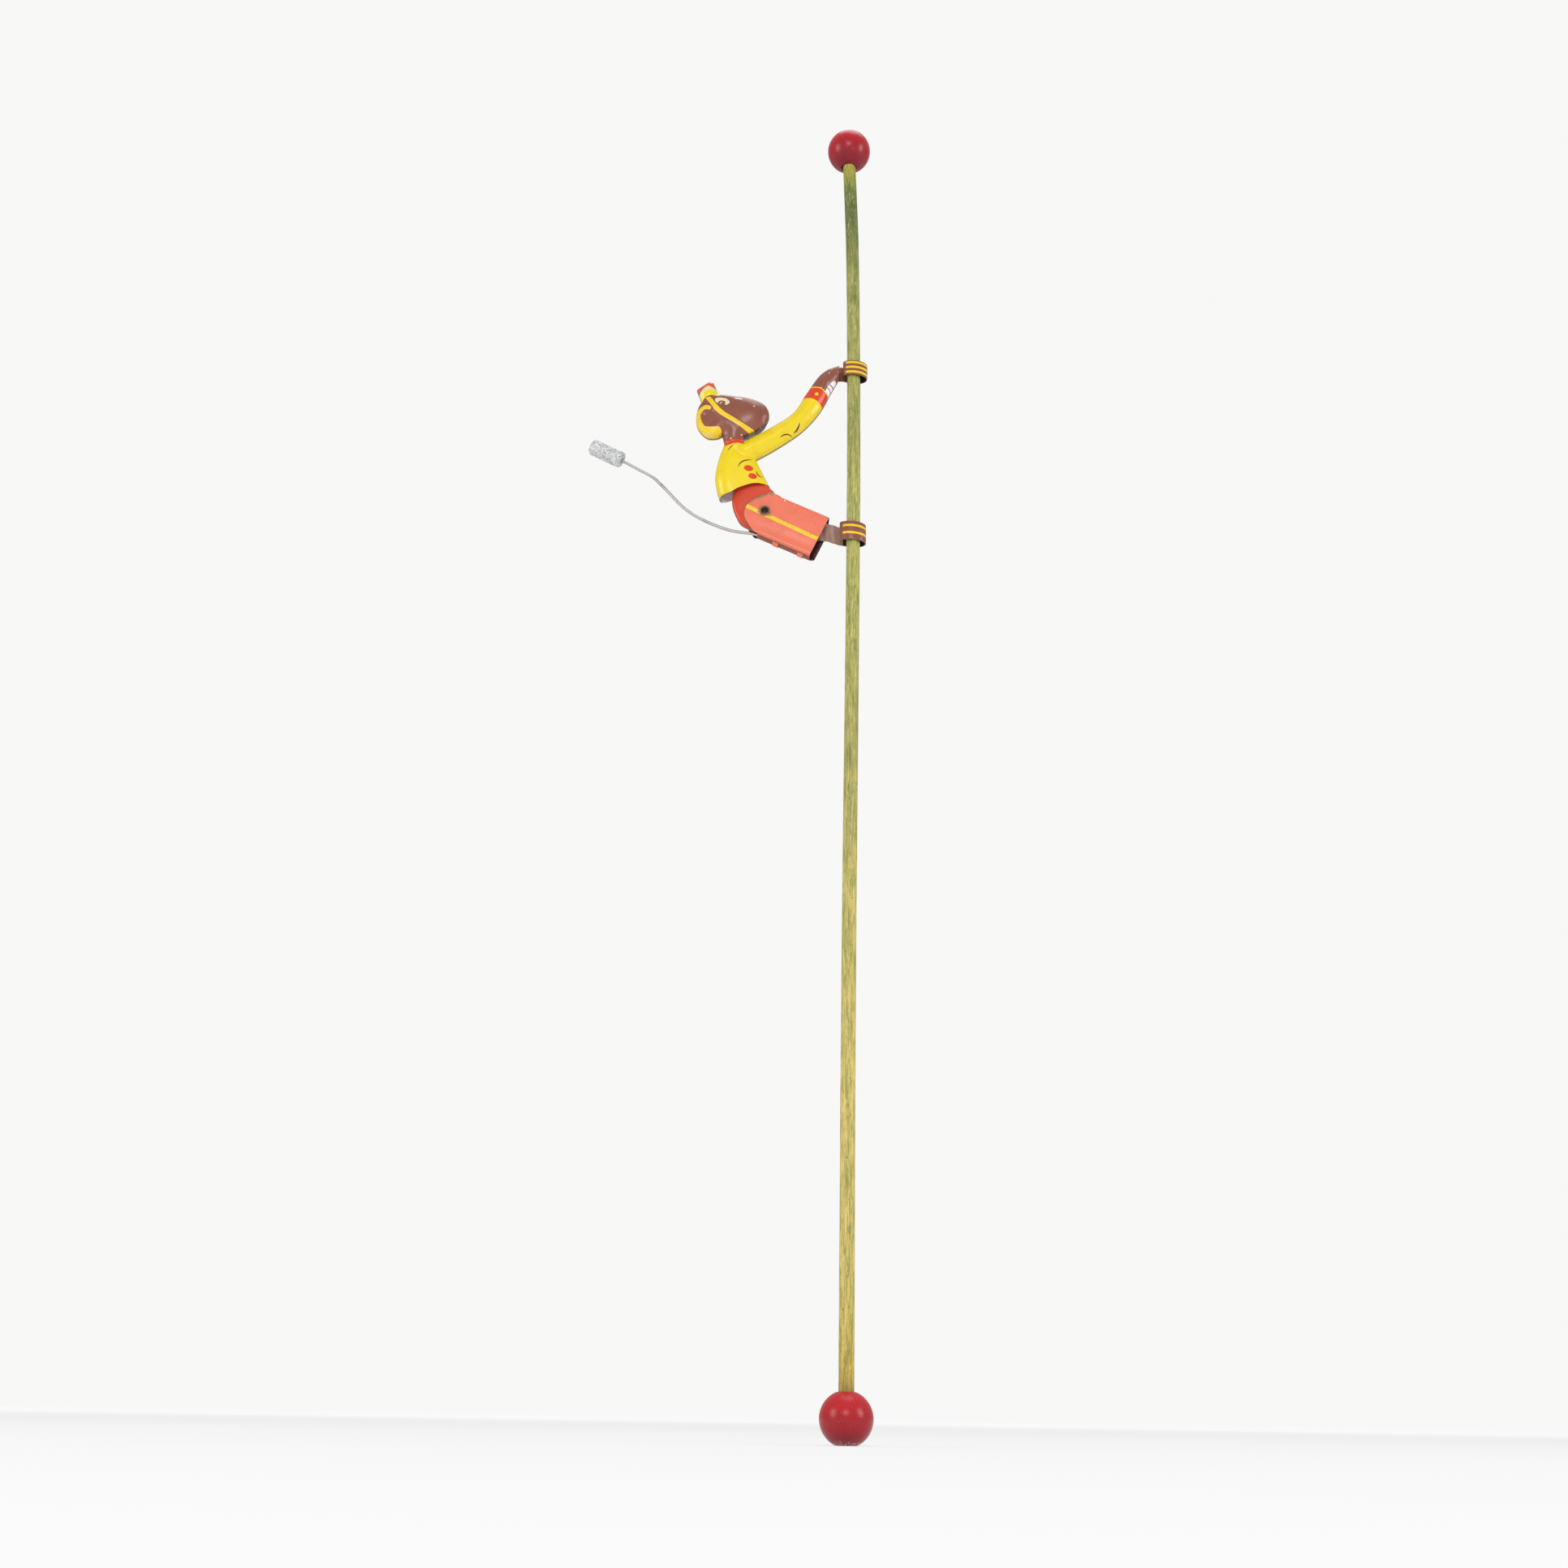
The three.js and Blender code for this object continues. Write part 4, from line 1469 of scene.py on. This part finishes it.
@dataclass
class Seat:
    """The folded cheek piece fixed in the jacket, round where it turns inside the trousers."""

    half_width: float = 2.0
    swing: float = 8.075
    hole_radius: float = 1.8

    def build(self, materials: Sequence[bpy.types.Material]) -> None:
        """Makes the seat as one folded sheet with its two cheeks."""
        def arc(start: float, stop: float) -> list[tuple[float, float]]:
            """Points of the swing circle, from one angle in degrees to another."""
            angles = np.radians(np.linspace(start, stop, 24))
            return [(self.swing * math.cos(a), self.swing * math.sin(a)) for a in angles]

        front = arc(60, -95)
        under = arc(-95, -110)
        back = (under[-1], (-8.2, -5), (-10.3, -1.9), (-11.8, 2.1), (-12.2, 5.6), (-11.4, 10))
        runs = (
            Run(tuple(front), folded=False),
            Run(tuple(under)),
            Run(back, smooth=True),
            Run(((-11.4, 10), (-10.6, 13))),
            Run(((-10.6, 13), (-1.8, 15), (0.9, 10.5), (2.9, 8.6), front[0]), folded=False),
        )
        hole = oval(0, 0, 2 * self.hole_radius, 2 * self.hole_radius, count=24)
        pattern = Pattern(runs, Ink.SEAT_RED, holes=[hole], pitch=0.6)
        stamping = Stamping(pattern, depth=self.half_width, reach=2.4,
                            rim=lambda flat: np.full(len(flat), 0.35),
                            wall_ends=lambda flat: np.zeros(len(flat)), dents=0.06,
                            worn=lambda flat: 0.12 * np.clip((flat[:, 1] - 4) / 4, 0, 1))
        sheet = stamping.pressed(-1, 21.0).joined(stamping.pressed(1, 24.0)).welded()
        # painted shade: the seat's inner faces are printed dark maroon
        sheet = moved(sheet.thickened(TIN, Ink.MAROON, 0), Matrix.Translation(HIP))
        dress(sheet.to_object("seat_cheeks", materials), "torso", "red_litho", "seat")


@dataclass
class Legs:
    """The trousers: one sheet folded over at the top, seamed below round the tail wire."""

    half_width: float = 2.65
    top: float = 8.0
    bottom: float = -9.3
    length: float = 22.56
    far_lip: float = 1.5
    seam_half: float = 0.875
    fold_radius: float = 0.85
    hole_radius: float = 1.8
    tab_places: tuple[float, float] = (9.0, 19.0)
    tab_half: float = 1.1

    @property
    def tilt(self) -> Matrix:
        """From the leg's own frame to the toy's, in millimetres."""
        return Matrix.Translation(HIP) @ Matrix.Rotation(-LEG_TILT, 4, "Y")

    def build(self, materials: Sequence[bpy.types.Material]) -> None:
        """Makes the trousers and the tabs that close their seam."""
        near = self._half(-1, 0.0, 31.0)
        far = self._half(1, self.far_lip, 35.0)
        # painted shade: the inner faces are printed dark maroon, far darker than the outside's red
        sheet = near.joined(far).welded().thickened(TIN, Ink.MAROON, 0)
        moved(sheet, self.tilt)
        dress(sheet.to_object("trouser_leg", materials), "legs", "red_litho", "trousers")
        self._tabs(materials[0])

    def _half(self, side: int, lip: float, seed: float) -> Sheet:
        """One wall with half of the top fold and its part of the bottom.

        Args:
            side: -1 for the wall on the viewer's side, 1 for the far one.
            lip: How far the open end bulges out.
            seed: Shifts the small dents.

        Returns:
            The wall.
        """
        end, top, low = self.length, self.top, self.bottom
        back = ((0, low), (-5.4, -5.6), (-7, -1.5), (-5.8, 2.8), (-1.2, top))
        runs = (
            Run(((end, low), (1.5, low))),
            Run(((1.5, low), (0, low)), folded=False),
            Run(back, folded=False, smooth=True),
            Run(((-1.2, top), (3, top)), folded=False),
            Run(((3, top), (end, top))),
            Run(((end, top), (end + lip * 0.2, top - 3), (end + lip, 0), (end + lip, low + 1),
                 (end, low)), folded=False),
        )
        worn_arc = ((-7.6, 0.2), (-6.4, 3.0), (-1.6, 8.6), (4.5, 8.6), (4.0, 7.3), (0.2, 7.0),
                    (-1.6, 5.9), (-3.9, 3.4), (-5.6, 0.6), (-6.2, -0.2))
        patches = [
            Patch(Ink.GOLD, ((-8.0, -0.2), (end - 0.2, -1.28), (end - 0.2, -2.83), (-8.0, -1.75))),
            Patch(Ink.OLIVE, band(((-7.0, 0.4), (-5.8, 2.8), (-1.2, 7.9)), 0.9)),
            Patch(Ink.EYE_WHITE, oval(4.9, 7.0, 0.8, 0.5, 15, 9)),
            Patch(Ink.EYE_WHITE, oval(8.9, 6.9, 0.5, 0.35, 0, 9)),
        ]
        hole = oval(0, 0, 2 * self.hole_radius, 2 * self.hole_radius, count=24)
        pattern = Pattern(runs, Ink.SALMON, patches, holes=[hole], pitch=0.55)
        arc = np.array(worn_arc, float)

        def worn(flat: np.ndarray) -> np.ndarray:
            """How worn each point is: along the seat's track and round the rivet."""
            rivet = np.linalg.norm(flat, axis=1)
            return np.maximum(0.95 * inside(flat, arc), 0.8 * (rivet < 2.9))

        stamping = Stamping(
            pattern,
            depth=self.half_width,
            rim=lambda flat: np.full(len(flat), self.half_width - self.fold_radius),
            reach=self.fold_radius,
            wall_ends=lambda flat: np.where(flat[:, 1] > 0, 0.0, self.seam_half),
            embosses=(Emboss(((2.0, -6.5), (20.0, -6.0)), 2.0, -0.12),
                      Emboss(((9.0, 3.2), (17.0, 2.6)), 2.6, 0.10)),
            worn=worn,
            dents=0.07,
            tuck=((0.85, 0.22), (0.72, 0.22), (0.60, 0.12), (0.35, 0.04)),
        )
        return stamping.pressed(side, seed)

    def _tabs(self, material: bpy.types.Material) -> None:
        """Folded clips spaced along the seam, each bent round under the wire."""
        recipe = Recipe("seam_tabs")
        count = recipe.input("Count", "NodeSocketInt")
        step = recipe.input("Step", "NodeSocketVector")
        line = recipe.node("GeometryNodeMeshLine", mode="OFFSET")
        place = recipe.node("GeometryNodeInstanceOnPoints")
        recipe.link(count, line.inputs["Count"])
        recipe.link(step, line.inputs["Offset"])
        recipe.link(line.outputs[0], place.inputs["Points"])
        recipe.link(recipe.start.outputs["Geometry"], place.inputs["Instance"])
        recipe.close(place.outputs[0])
        reach, drop = self.seam_half + TIN, 0.9
        bend = spline(((-reach, 0.15), (-reach, -0.5), (-reach * 0.55, -drop), (0, -drop - 0.12),
                       (reach * 0.55, -drop), (reach, -0.5), (reach, 0.15)), 0.25)
        along = np.linspace(-self.tab_half, self.tab_half, 7)
        points = np.array([(a, y, z) for a in along for y, z in bend])
        wide, faces = len(bend), []
        for i in range(len(along) - 1):
            for k in range(wide - 1):
                a = i * wide + k
                faces += [(a, a + 1, a + wide), (a + 1, a + wide + 1, a + wide)]
        faces = np.array(faces)
        first = Sheet(points, faces, np.tile(np.array(Ink.SALMON.linear), (len(faces), 1)),
                      np.zeros(len(faces), np.int64), np.full(len(points), 0.55))
        if first.normals()[wide // 2][2] > 0:
            first.faces = first.faces[:, ::-1]
        # painted shade: the clip's inner face is printed dark maroon
        clip = first.thickened(TIN * 0.8, Ink.MAROON, 0)
        clip.kind[:] = 0
        clip.points += (self.tab_places[0], 0, self.bottom)
        source = clip.to_object("tab", [material])
        gap = (self.tab_places[1] - self.tab_places[0]) * MM
        mesh = recipe.bake(source, Count=2, Step=(gap, 0, 0), Material=material)
        matrix = self.tilt.copy()
        matrix.translation *= MM
        mesh.transform(matrix)
        dress(linked("seam_tabs", mesh), "legs", "red_litho", "trousers")


@dataclass
class Rivet:
    """The hollow rivet at the hip, rolled over outside each trouser wall."""

    bore: float = 1.25
    barrel: float = 1.5
    flange: float = 2.0
    face: float = 2.95
    segments: int = 48
    unevenness: float = 0.02

    def build(self, material: bpy.types.Material) -> None:
        """Turns the rivet, lies it across the hip and dresses it."""
        lip = [(self.bore, 2.35), (self.bore + 0.1, 2.85), (self.bore + 0.3, 3.2),
               (self.bore + 0.55, 3.25), (self.flange - 0.12, 3.14), (self.flange, 3.0),
               (self.flange - 0.06, self.face), (self.barrel, self.face)]
        points, faces = lathe([*lip, *[(r, -z) for r, z in lip[::-1]], lip[0]], self.segments)
        merged = len(points) - self.segments
        faces = [tuple(i - merged if i >= merged else i for i in f) for f in faces]
        points = points[:merged]
        for p in points:
            wobble = noise.noise(Vector((p[0], p[1], p[2] * 2)) * 0.9)
            p[:2] *= 1 + self.unevenness * wobble
        points = points[:, [0, 2, 1]] * (1, 1, 1) + HIP
        if signed_volume(points, faces) < 0:
            faces = [f[::-1] for f in faces]
        faces = np.array([t for a, b, c, d in faces for t in ((a, b, c), (a, c, d))])
        reach = np.linalg.norm((points - HIP)[:, [0, 2]], axis=1)[faces].mean(1)
        # painted shade: faces inside the bore are near black; the flange keeps the salmon paint
        paint = np.where((reach > self.bore * 1.16)[:, None], Ink.SALMON.linear, Ink.SHADE.linear)
        flange = Sheet(points, faces, paint, np.zeros(len(faces), int), np.full(len(points), 1.0))
        dress(flange.to_object("hip_rivet", [material]), "legs", "steel", "hip_eyelet")


def signed_volume(points: np.ndarray, faces: list[tuple[int, ...]]) -> float:
    """Volume of a closed mesh; it is negative when the faces point inward."""
    total = 0.0
    centre = points.mean(0)
    for face in faces:
        for k in range(1, len(face) - 1):
            a, b, c = (points[face[i]] - centre for i in (0, k, k + 1))
            total += float(np.dot(a, np.cross(b, c))) / 6
    return total


@dataclass
class Bands:
    """The printed strips that run from the hand and the foot round the pole."""

    across: float = 3.55
    along: float = 5.05
    hand_centre: float = 1.45
    foot_centre: float = 0.95
    droop: float = 0.07
    corner: float = 0.5
    pitch: float = 0.42
    stripe_reach: float = 12.8
    stripe_end: float = 1.6
    stripe_width: float = 0.92

    def loop(
        self, centre: float, start: float, stop: float, count: int
    ) -> list[tuple[float, float]]:
        """Points of an oval round the pole, from one angle in degrees to another."""
        angles = np.radians(np.linspace(start, stop, count))
        return [(centre + self.along * math.cos(a), self.across * math.sin(a)) for a in angles]

    def build(self, materials: Sequence[bpy.types.Material]) -> None:
        """Makes both bands."""
        low, high = span_of("hand_strap", 2)
        hand = [(-4.9, 2.75), (-3.9, 2.6), *self.loop(self.hand_centre, 130, -146, 16)]
        self._strip("hand_band", "torso", "hand_strap", hand, low, high, (0.86, 0.52, 0.18),
                    ((-4.9, 0.0), (10, 0.0)), (4.6, Ink.BROWN), materials)
        low, high = span_of("foot_strap", 2)
        foot = [(-13.1, 1.8), (-8.6, 1.75), (-6.2, 1.9), (-4.3, 2.5),
                *self.loop(self.foot_centre, 116, -134, 15), (-3.7, -2.1)]
        self._strip("foot_band", "legs", "foot_strap", foot, low, high, (0.76, 0.36),
                    ((-13.1, 1.3), (-8.5, 1.0), (-6.0, 0.35), (-4.2, 0.0), (10, 0.0)),
                    (10.8, Ink.LIGHT_BROWN), materials)

    def _strip(
        self,
        name: str,
        body: str,
        node: str,
        path: list,
        low: float,
        high: float,
        fingers: Sequence[float],
        rise: Sequence[tuple[float, float]],
        neck: tuple[float, Ink],
        materials: Sequence[bpy.types.Material],
    ) -> None:
        """Bends a printed strip along its path.

        Args:
            name: Name of the piece.
            body: Body that it rides on.
            node: Frame node that it replaces.
            path: Places of the strip's outer face, seen from above.
            low: Lower edge.
            high: Upper edge.
            fingers: Heights of the yellow lines, as shares of the strip's height.
            rise: How far the strip's middle rises above the band's, at places along X.
            neck: Length and ink of the plain neck, which is printed on both faces.
            materials: Printed face, bare face and cut edge.
        """
        line = spline(path, 0.2)
        steps = np.concatenate([[0], np.cumsum(np.linalg.norm(np.diff(line, axis=0), axis=1))])
        length, tall = float(steps[-1]), high - low
        corner = self.corner
        runs = (
            Run(((0, 0), (length - corner, 0)), folded=False),
            Run(((length - corner, 0), (length, corner), (length, tall - corner),
                 (length - corner, tall)), folded=False),
            Run(((length - corner, tall), (0, tall), (0, 0)), folded=False),
        )
        front, back_end = length - self.stripe_reach, length - self.stripe_end
        patches = [
            Patch(Ink.GOLD, oval_stroke(front, back_end, tall * f, self.stripe_width))
            for f in fingers
        ]
        plain, ink = neck
        patches.insert(0, Patch(ink, ((-1, -1), (plain, -1), (plain, tall + 1), (-1, tall + 1))))
        pattern = Pattern(runs, Ink.BROWN, patches, pitch=self.pitch)
        s, h = pattern.flat[:, 0], pattern.flat[:, 1]
        x, y = np.interp(s, steps, line[:, 0]), np.interp(s, steps, line[:, 1])
        tangent = np.gradient(line, axis=0)
        tangent /= np.linalg.norm(tangent, axis=1)[:, None]
        across = np.interp(s, steps, tangent[:, 1]), -np.interp(s, steps, tangent[:, 0])
        creases = 0.24 * np.sin(s * 2.1 + 0.3 * h) * np.clip((plain - 1 - s) / 3, 0, 1)
        dents = np.array([noise.noise(Vector((a / 2.6, b / 3.4, 3.3))) for a, b in pattern.flat])
        belly = 0.16 * (1 - (2 * h / tall - 1) ** 2) + 0.10 * dents + creases
        lift = np.interp(x, [p[0] for p in rise], [p[1] for p in rise])
        lift = np.where(s < length * 0.5, lift, 0.0) - self.droop * np.clip(x, -4, 6)
        points = np.stack([x - across[0] * belly * 0.6, y - across[1] * belly * 0.6,
                           low + h + lift], 1)
        edge = np.minimum(h, tall - h)
        kind = np.zeros(len(pattern.faces), int)
        sheet = Sheet(points, pattern.faces.copy(), pattern.paint, kind, 0.5 * np.exp(-edge / 0.3))
        middle = np.argmin(np.abs(s - length * 0.6))
        outward = sheet.points[middle][:2] - np.array([1.0, 0.0])
        if np.dot(sheet.normals()[middle][:2], outward) < 0:
            sheet.faces = sheet.faces[:, ::-1]
        count = len(sheet.faces)
        # painted shade: the inner face is printed near black, for the shade inside the loop
        sheet = sheet.thickened(TIN, Ink.SHADE, 0)
        back = np.arange(count, 2 * count)[(s[pattern.faces].mean(1) < plain)]
        sheet.paint[back] = ink.linear
        dress(sheet.to_object(name, materials), body, "brown_litho", node)


def oval_stroke(
    start: float, stop: float, height: float, width: float
) -> tuple[tuple[float, float], ...]:
    """A stroke with round ends, its sides divided so that they follow a bend.

    Args:
        start: Where the left end's rounding starts.
        stop: Where the right end's rounding starts.
        height: Height of the stroke's middle line.
        width: Full width of the stroke.

    Returns:
        The ring's points.
    """
    half = width / 2
    left = [(start - half * math.sin(a), height + half * math.cos(a))
            for a in np.linspace(0, math.pi, 7)]
    right = [(stop + half * math.sin(a), height - half * math.cos(a))
             for a in np.linspace(0, math.pi, 7)]
    between = np.linspace(start, stop, max(3, int((stop - start) / 0.4)))[1:-1]
    low = [(x, height - half) for x in between]
    high = [(x, height + half) for x in between[::-1]]
    return tuple(left + low + right + high)


# ---- the tail -----------------------------------------------------------------------------------


@dataclass
class Tail:
    """A formed wire from the trouser seam to a cast weight."""

    wire_radius: float = 0.575
    wire_line: float = -8.95
    leg_length: float = 22.56
    weight_radius: float = 3.0
    weight_length: float = 13.0
    weight_tilt: float = math.radians(-26.6)
    weight_start: tuple[float, float, float] = (-53.7, 0.0, 21.4)
    seat_depth: float = 7.0
    slot_angle: float = -1.0
    slot_width: float = 0.16
    slot_length: float = 2.6
    slot_depth: float = 1.3
    grain_radius: float = 0.27
    grain_density: float = 2.0e6

    def _seam(self, along: float) -> tuple[float, float, float]:
        """A point of the wire where it lies in the trouser seam."""
        c, s = math.cos(LEG_TILT), math.sin(LEG_TILT)
        return along * c - self.wire_line * s, 0.0, along * s + self.wire_line * c

    @property
    def outward(self) -> np.ndarray:
        """The weight's axis, away from the figure."""
        return np.array((-math.cos(self.weight_tilt), 0, -math.sin(self.weight_tilt)))

    def build(self, steel: bpy.types.Material, cast: bpy.types.Material) -> None:
        """Makes the wire and the weight."""
        self._wire(steel)
        self._weight(cast)

    def _wire(self, steel: bpy.types.Material) -> None:
        """Draws the wire along its route."""
        start = np.array(self.weight_start)
        route = [start + self.outward * self.seat_depth, start,
                 (-47.5, 0, 17.9), (-42.2, 0, 14.8), (-38.3, 0, 11.1), (-30.2, 0, 2.3),
                 (-22.8, 0, -2.8), (-12.8, 0, -6.9),
                 *[self._seam(a) for a in (0.5, 5, 12, self.leg_length - 1)]]
        line = spline(np.array(route, float), 0.7) + HIP
        recipe = Recipe("wire_along_path")
        radius = recipe.input("Radius")
        sides = recipe.input("Sides", "NodeSocketInt")
        path = recipe.node("GeometryNodeMeshToCurve")
        section = recipe.node("GeometryNodeCurvePrimitiveCircle", mode="RADIUS")
        sweep = recipe.node("GeometryNodeCurveToMesh")
        recipe.link(recipe.start.outputs["Geometry"], path.inputs["Mesh"])
        recipe.link(radius, section.inputs["Radius"])
        recipe.link(sides, section.inputs["Resolution"])
        recipe.link(path.outputs[0], sweep.inputs["Curve"])
        recipe.link(section.outputs[0], sweep.inputs["Profile Curve"])
        sweep.inputs["Fill Caps"].default_value = True
        recipe.close(sweep.outputs[0])
        mesh = bpy.data.meshes.new("route")
        mesh.from_pydata((line * MM).tolist(), [(k, k + 1) for k in range(len(line) - 1)], [])
        source = bpy.data.objects.new("route", mesh)
        bpy.context.scene.collection.objects.link(source)
        tube = recipe.bake(source, Radius=self.wire_radius * MM, Sides=18, Material=steel)
        dress(linked("tail_wire_rod", tube), "legs", "steel", "tail_wire")

    def _weight(self, cast: bpy.types.Material) -> None:
        """Casts the weight: a rough slug with a crimped mouth, sanded over with granules."""
        r, length = self.weight_radius, self.weight_length
        hole = self.wire_radius + 0.3
        mouth = [(hole, 0.9), (hole + 0.08, 0.35), (hole + 0.3, 0.06), (r - 0.75, 0.0),
                 (r - 0.3, 0.12), (r - 0.08, 0.4)]
        side = [(r, z) for z in np.linspace(0.8, length - 0.9, 44)]
        back = [(r - 0.12, length - 0.45), (r - 0.5, length - 0.1), (r - 1.0, length),
                (r * 0.4, length), (0, length)]
        profile = [(0, self.seat_depth + 0.3), (hole, self.seat_depth + 0.3), *mouth, *side, *back]
        points, faces = lathe(profile, 72)
        for p in points:
            size = math.hypot(p[0], p[1])
            if size > 1.2:
                at = Vector(p)
                rough = 0.10 * noise.noise(at * 0.8) + 0.07 * noise.noise(at * 2.6)
                around = math.atan2(p[1], p[0])
                turned = (around - self.slot_angle) / self.slot_width
                slot = math.exp(-turned ** 2) * max(0.0, 1 - p[2] / self.slot_length)
                scale = 1 + (rough - 0.10 - self.slot_depth * slot * (size / r)) / size
                p[0] *= scale
                p[1] *= scale
        turn = Vector((0, 0, 1)).rotation_difference(Vector(self.outward)).to_matrix()
        start = np.array(self.weight_start) + HIP
        points = points @ np.array(turn).T + start
        if signed_volume(points, faces) < 0:
            faces = [f[::-1] for f in faces]
        source = mesh_object("slug", points, faces, cast, sharp=60)
        recipe = Recipe("cast_granules")
        density = recipe.input("Density")
        size = recipe.input("Grain Radius")
        seed = recipe.input("Seed", "NodeSocketInt")
        scatter = recipe.node("GeometryNodeDistributePointsOnFaces")
        grain = recipe.node("GeometryNodeMeshIcoSphere")
        grain.inputs["Subdivisions"].default_value = 1
        place = recipe.node("GeometryNodeInstanceOnPoints")
        vary = recipe.node("FunctionNodeRandomValue", data_type="FLOAT")
        vary.inputs[2].default_value = 0.4
        vary.inputs[3].default_value = 1.0
        join = recipe.node("GeometryNodeJoinGeometry")
        recipe.link(recipe.start.outputs["Geometry"], scatter.inputs["Mesh"])
        recipe.link(density, scatter.inputs["Density"])
        recipe.link(seed, scatter.inputs["Seed"])
        recipe.link(size, grain.inputs["Radius"])
        recipe.link(seed, vary.inputs["Seed"])
        recipe.link(scatter.outputs["Points"], place.inputs["Points"])
        recipe.link(grain.outputs["Mesh"], place.inputs["Instance"])
        recipe.link(vary.outputs[1], place.inputs["Scale"])
        recipe.link(recipe.start.outputs["Geometry"], join.inputs[0])
        recipe.link(place.outputs[0], join.inputs[0])
        recipe.close(join.outputs[0])
        mesh = recipe.bake(source, Density=self.grain_density, Seed=5, Material=cast,
                           Grain_Radius=self.grain_radius * MM)
        dress(linked("tail_weight_slug", mesh, 60), "legs", "cast_weight", "tail_weight")


# ---- the studio ---------------------------------------------------------------------------------


@dataclass(frozen=True)
class SoftBox:
    """A rectangular lamp: place, size in metres, and brightness of its face."""

    name: str
    place: tuple[float, float, float]
    wide: float
    tall: float
    brightness: float

    def build(self, target: Vector) -> None:
        """Hangs the lamp, turned towards the target, unseen by the camera."""
        lamp = bpy.data.lights.new(self.name, "AREA")
        lamp.shape = "RECTANGLE"
        lamp.size, lamp.size_y = self.wide, self.tall
        lamp.energy = self.brightness * math.pi * self.wide * self.tall
        obj = bpy.data.objects.new(self.name, lamp)
        obj.location = self.place
        obj.rotation_euler = (target - obj.location).to_track_quat("-Z", "Y").to_euler()
        obj.visible_camera = False
        bpy.context.scene.collection.objects.link(obj)


@dataclass
class Studio:
    """Pale floor, soft lamps, even surroundings, and the camera."""

    ambient: float = 0.48
    backdrop: float = 0.94
    floor_radius: float = 30.0
    camera_place: tuple[float, float, float] = (-22.6, -588.8, 7.95)
    camera_pitch: float = 0.341
    camera_roll: float = 0.0166
    lens: float = 40.99
    lamps: tuple[SoftBox, ...] = (
        SoftBox("front_box", (-0.10, -1.25, 0.62), 0.40, 0.32, 8.0),
        SoftBox("left_box", (-1.15, -0.60, 0.50), 0.42, 0.60, 5.4),
        SoftBox("right_box", (1.15, -0.55, 0.52), 0.42, 0.60, 5.8),
        SoftBox("overhead_box", (0.1, 0.15, 1.55), 0.9, 0.7, 2.0),
    )

    def build(self) -> None:
        """Makes everything that isn't the toy."""
        scene = bpy.context.scene
        scene.view_settings.view_transform = "Standard"
        self._world(scene)
        self._floor()
        for lamp in self.lamps:
            lamp.build(Vector((-0.02, 0, 0.26)))
        self._camera(scene)

    def _world(self, scene: bpy.types.Scene) -> None:
        """Even light from all round, and a paler ground where the camera looks past the toy."""
        world = bpy.data.worlds.new("studio")
        world.use_nodes = True
        tree = world.node_tree
        tree.nodes.clear()
        output = tree.nodes.new("ShaderNodeOutputWorld")
        mix = tree.nodes.new("ShaderNodeMixShader")
        path = tree.nodes.new("ShaderNodeLightPath")
        for strength, socket in ((self.ambient, 1), (self.backdrop, 2)):
            light = tree.nodes.new("ShaderNodeBackground")
            light.inputs["Color"].default_value = (1.0, 0.995, 0.99, 1)
            light.inputs["Strength"].default_value = strength
            tree.links.new(light.outputs[0], mix.inputs[socket])
        tree.links.new(path.outputs["Is Camera Ray"], mix.inputs[0])
        tree.links.new(mix.outputs[0], output.inputs[0])
        scene.world = world

    def _floor(self) -> None:
        """A wide round floor at the height that the toy stands on."""
        rings = [0, 0.3, 0.8, 2, 5, 12, self.floor_radius]
        points, faces = lathe([(r / MM, 0.0) for r in rings], 96)
        floor = mesh_object("studio_floor", points, faces, StudioPaper().build())
        if floor.data.polygons[0].normal.z < 0:
            floor.data.flip_normals()

    def _camera(self, scene: bpy.types.Scene) -> None:
        """The viewer's place, low down and looking up the pole."""
        data = bpy.data.cameras.new("camera")
        data.lens, data.sensor_width = self.lens, 36.0
        data.clip_start, data.clip_end = 0.01, 100.0
        camera = bpy.data.objects.new("camera", data)
        pitch, roll = self.camera_pitch, self.camera_roll
        ahead = Vector((0, math.cos(pitch), math.sin(pitch)))
        level, upright = Vector((1, 0, 0)), Vector((0, -math.sin(pitch), math.cos(pitch)))
        right = math.cos(roll) * level + math.sin(roll) * upright
        above = -math.sin(roll) * level + math.cos(roll) * upright
        turn = Matrix((right, above, -ahead)).transposed().to_4x4()
        camera.matrix_world = Matrix.Translation(Vector(self.camera_place) * MM) @ turn
        scene.collection.objects.link(camera)
        scene.camera = camera


# ---- everything, in order -----------------------------------------------------------------------


def main() -> None:
    """Builds the studio and the toy."""
    logging.basicConfig(level=logging.INFO, format="%(message)s")
    LOG.info("frame with %d nodes", len(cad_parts))
    Studio().build()
    printed = PrintedTin("printed_tin").build()
    # painted light: the jacket insides and the hand's scrape take the near-white default tone
    inside_tin = BareTin("bare_tin_inside").build()
    cut_edge = BareTin("cut_tin_edge", tone=(120, 112, 106), stain=(70, 58, 50)).build()
    trousers_tin = PrintedTin("trouser_tin", roughness=0.38, coat=0.3, chips=0.63,
                              undercoat=(150, 140, 112)).build()
    tin = (printed, inside_tin, cut_edge)
    red_tin = (trousers_tin, inside_tin, cut_edge)
    Pole().build()
    Torso().build(tin)
    Seat().build(red_tin)
    Legs().build(red_tin)
    Rivet().build(PrintedTin("rivet_paint", roughness=0.45, coat=0.1, chips=0.56,
                             undercoat=(120, 108, 96)).build())
    Bands().build(tin)
    Tail().build(Steel("wire_steel").build(), CastMetal("cast_lead").build())


if __name__ == "__main__":
    main()
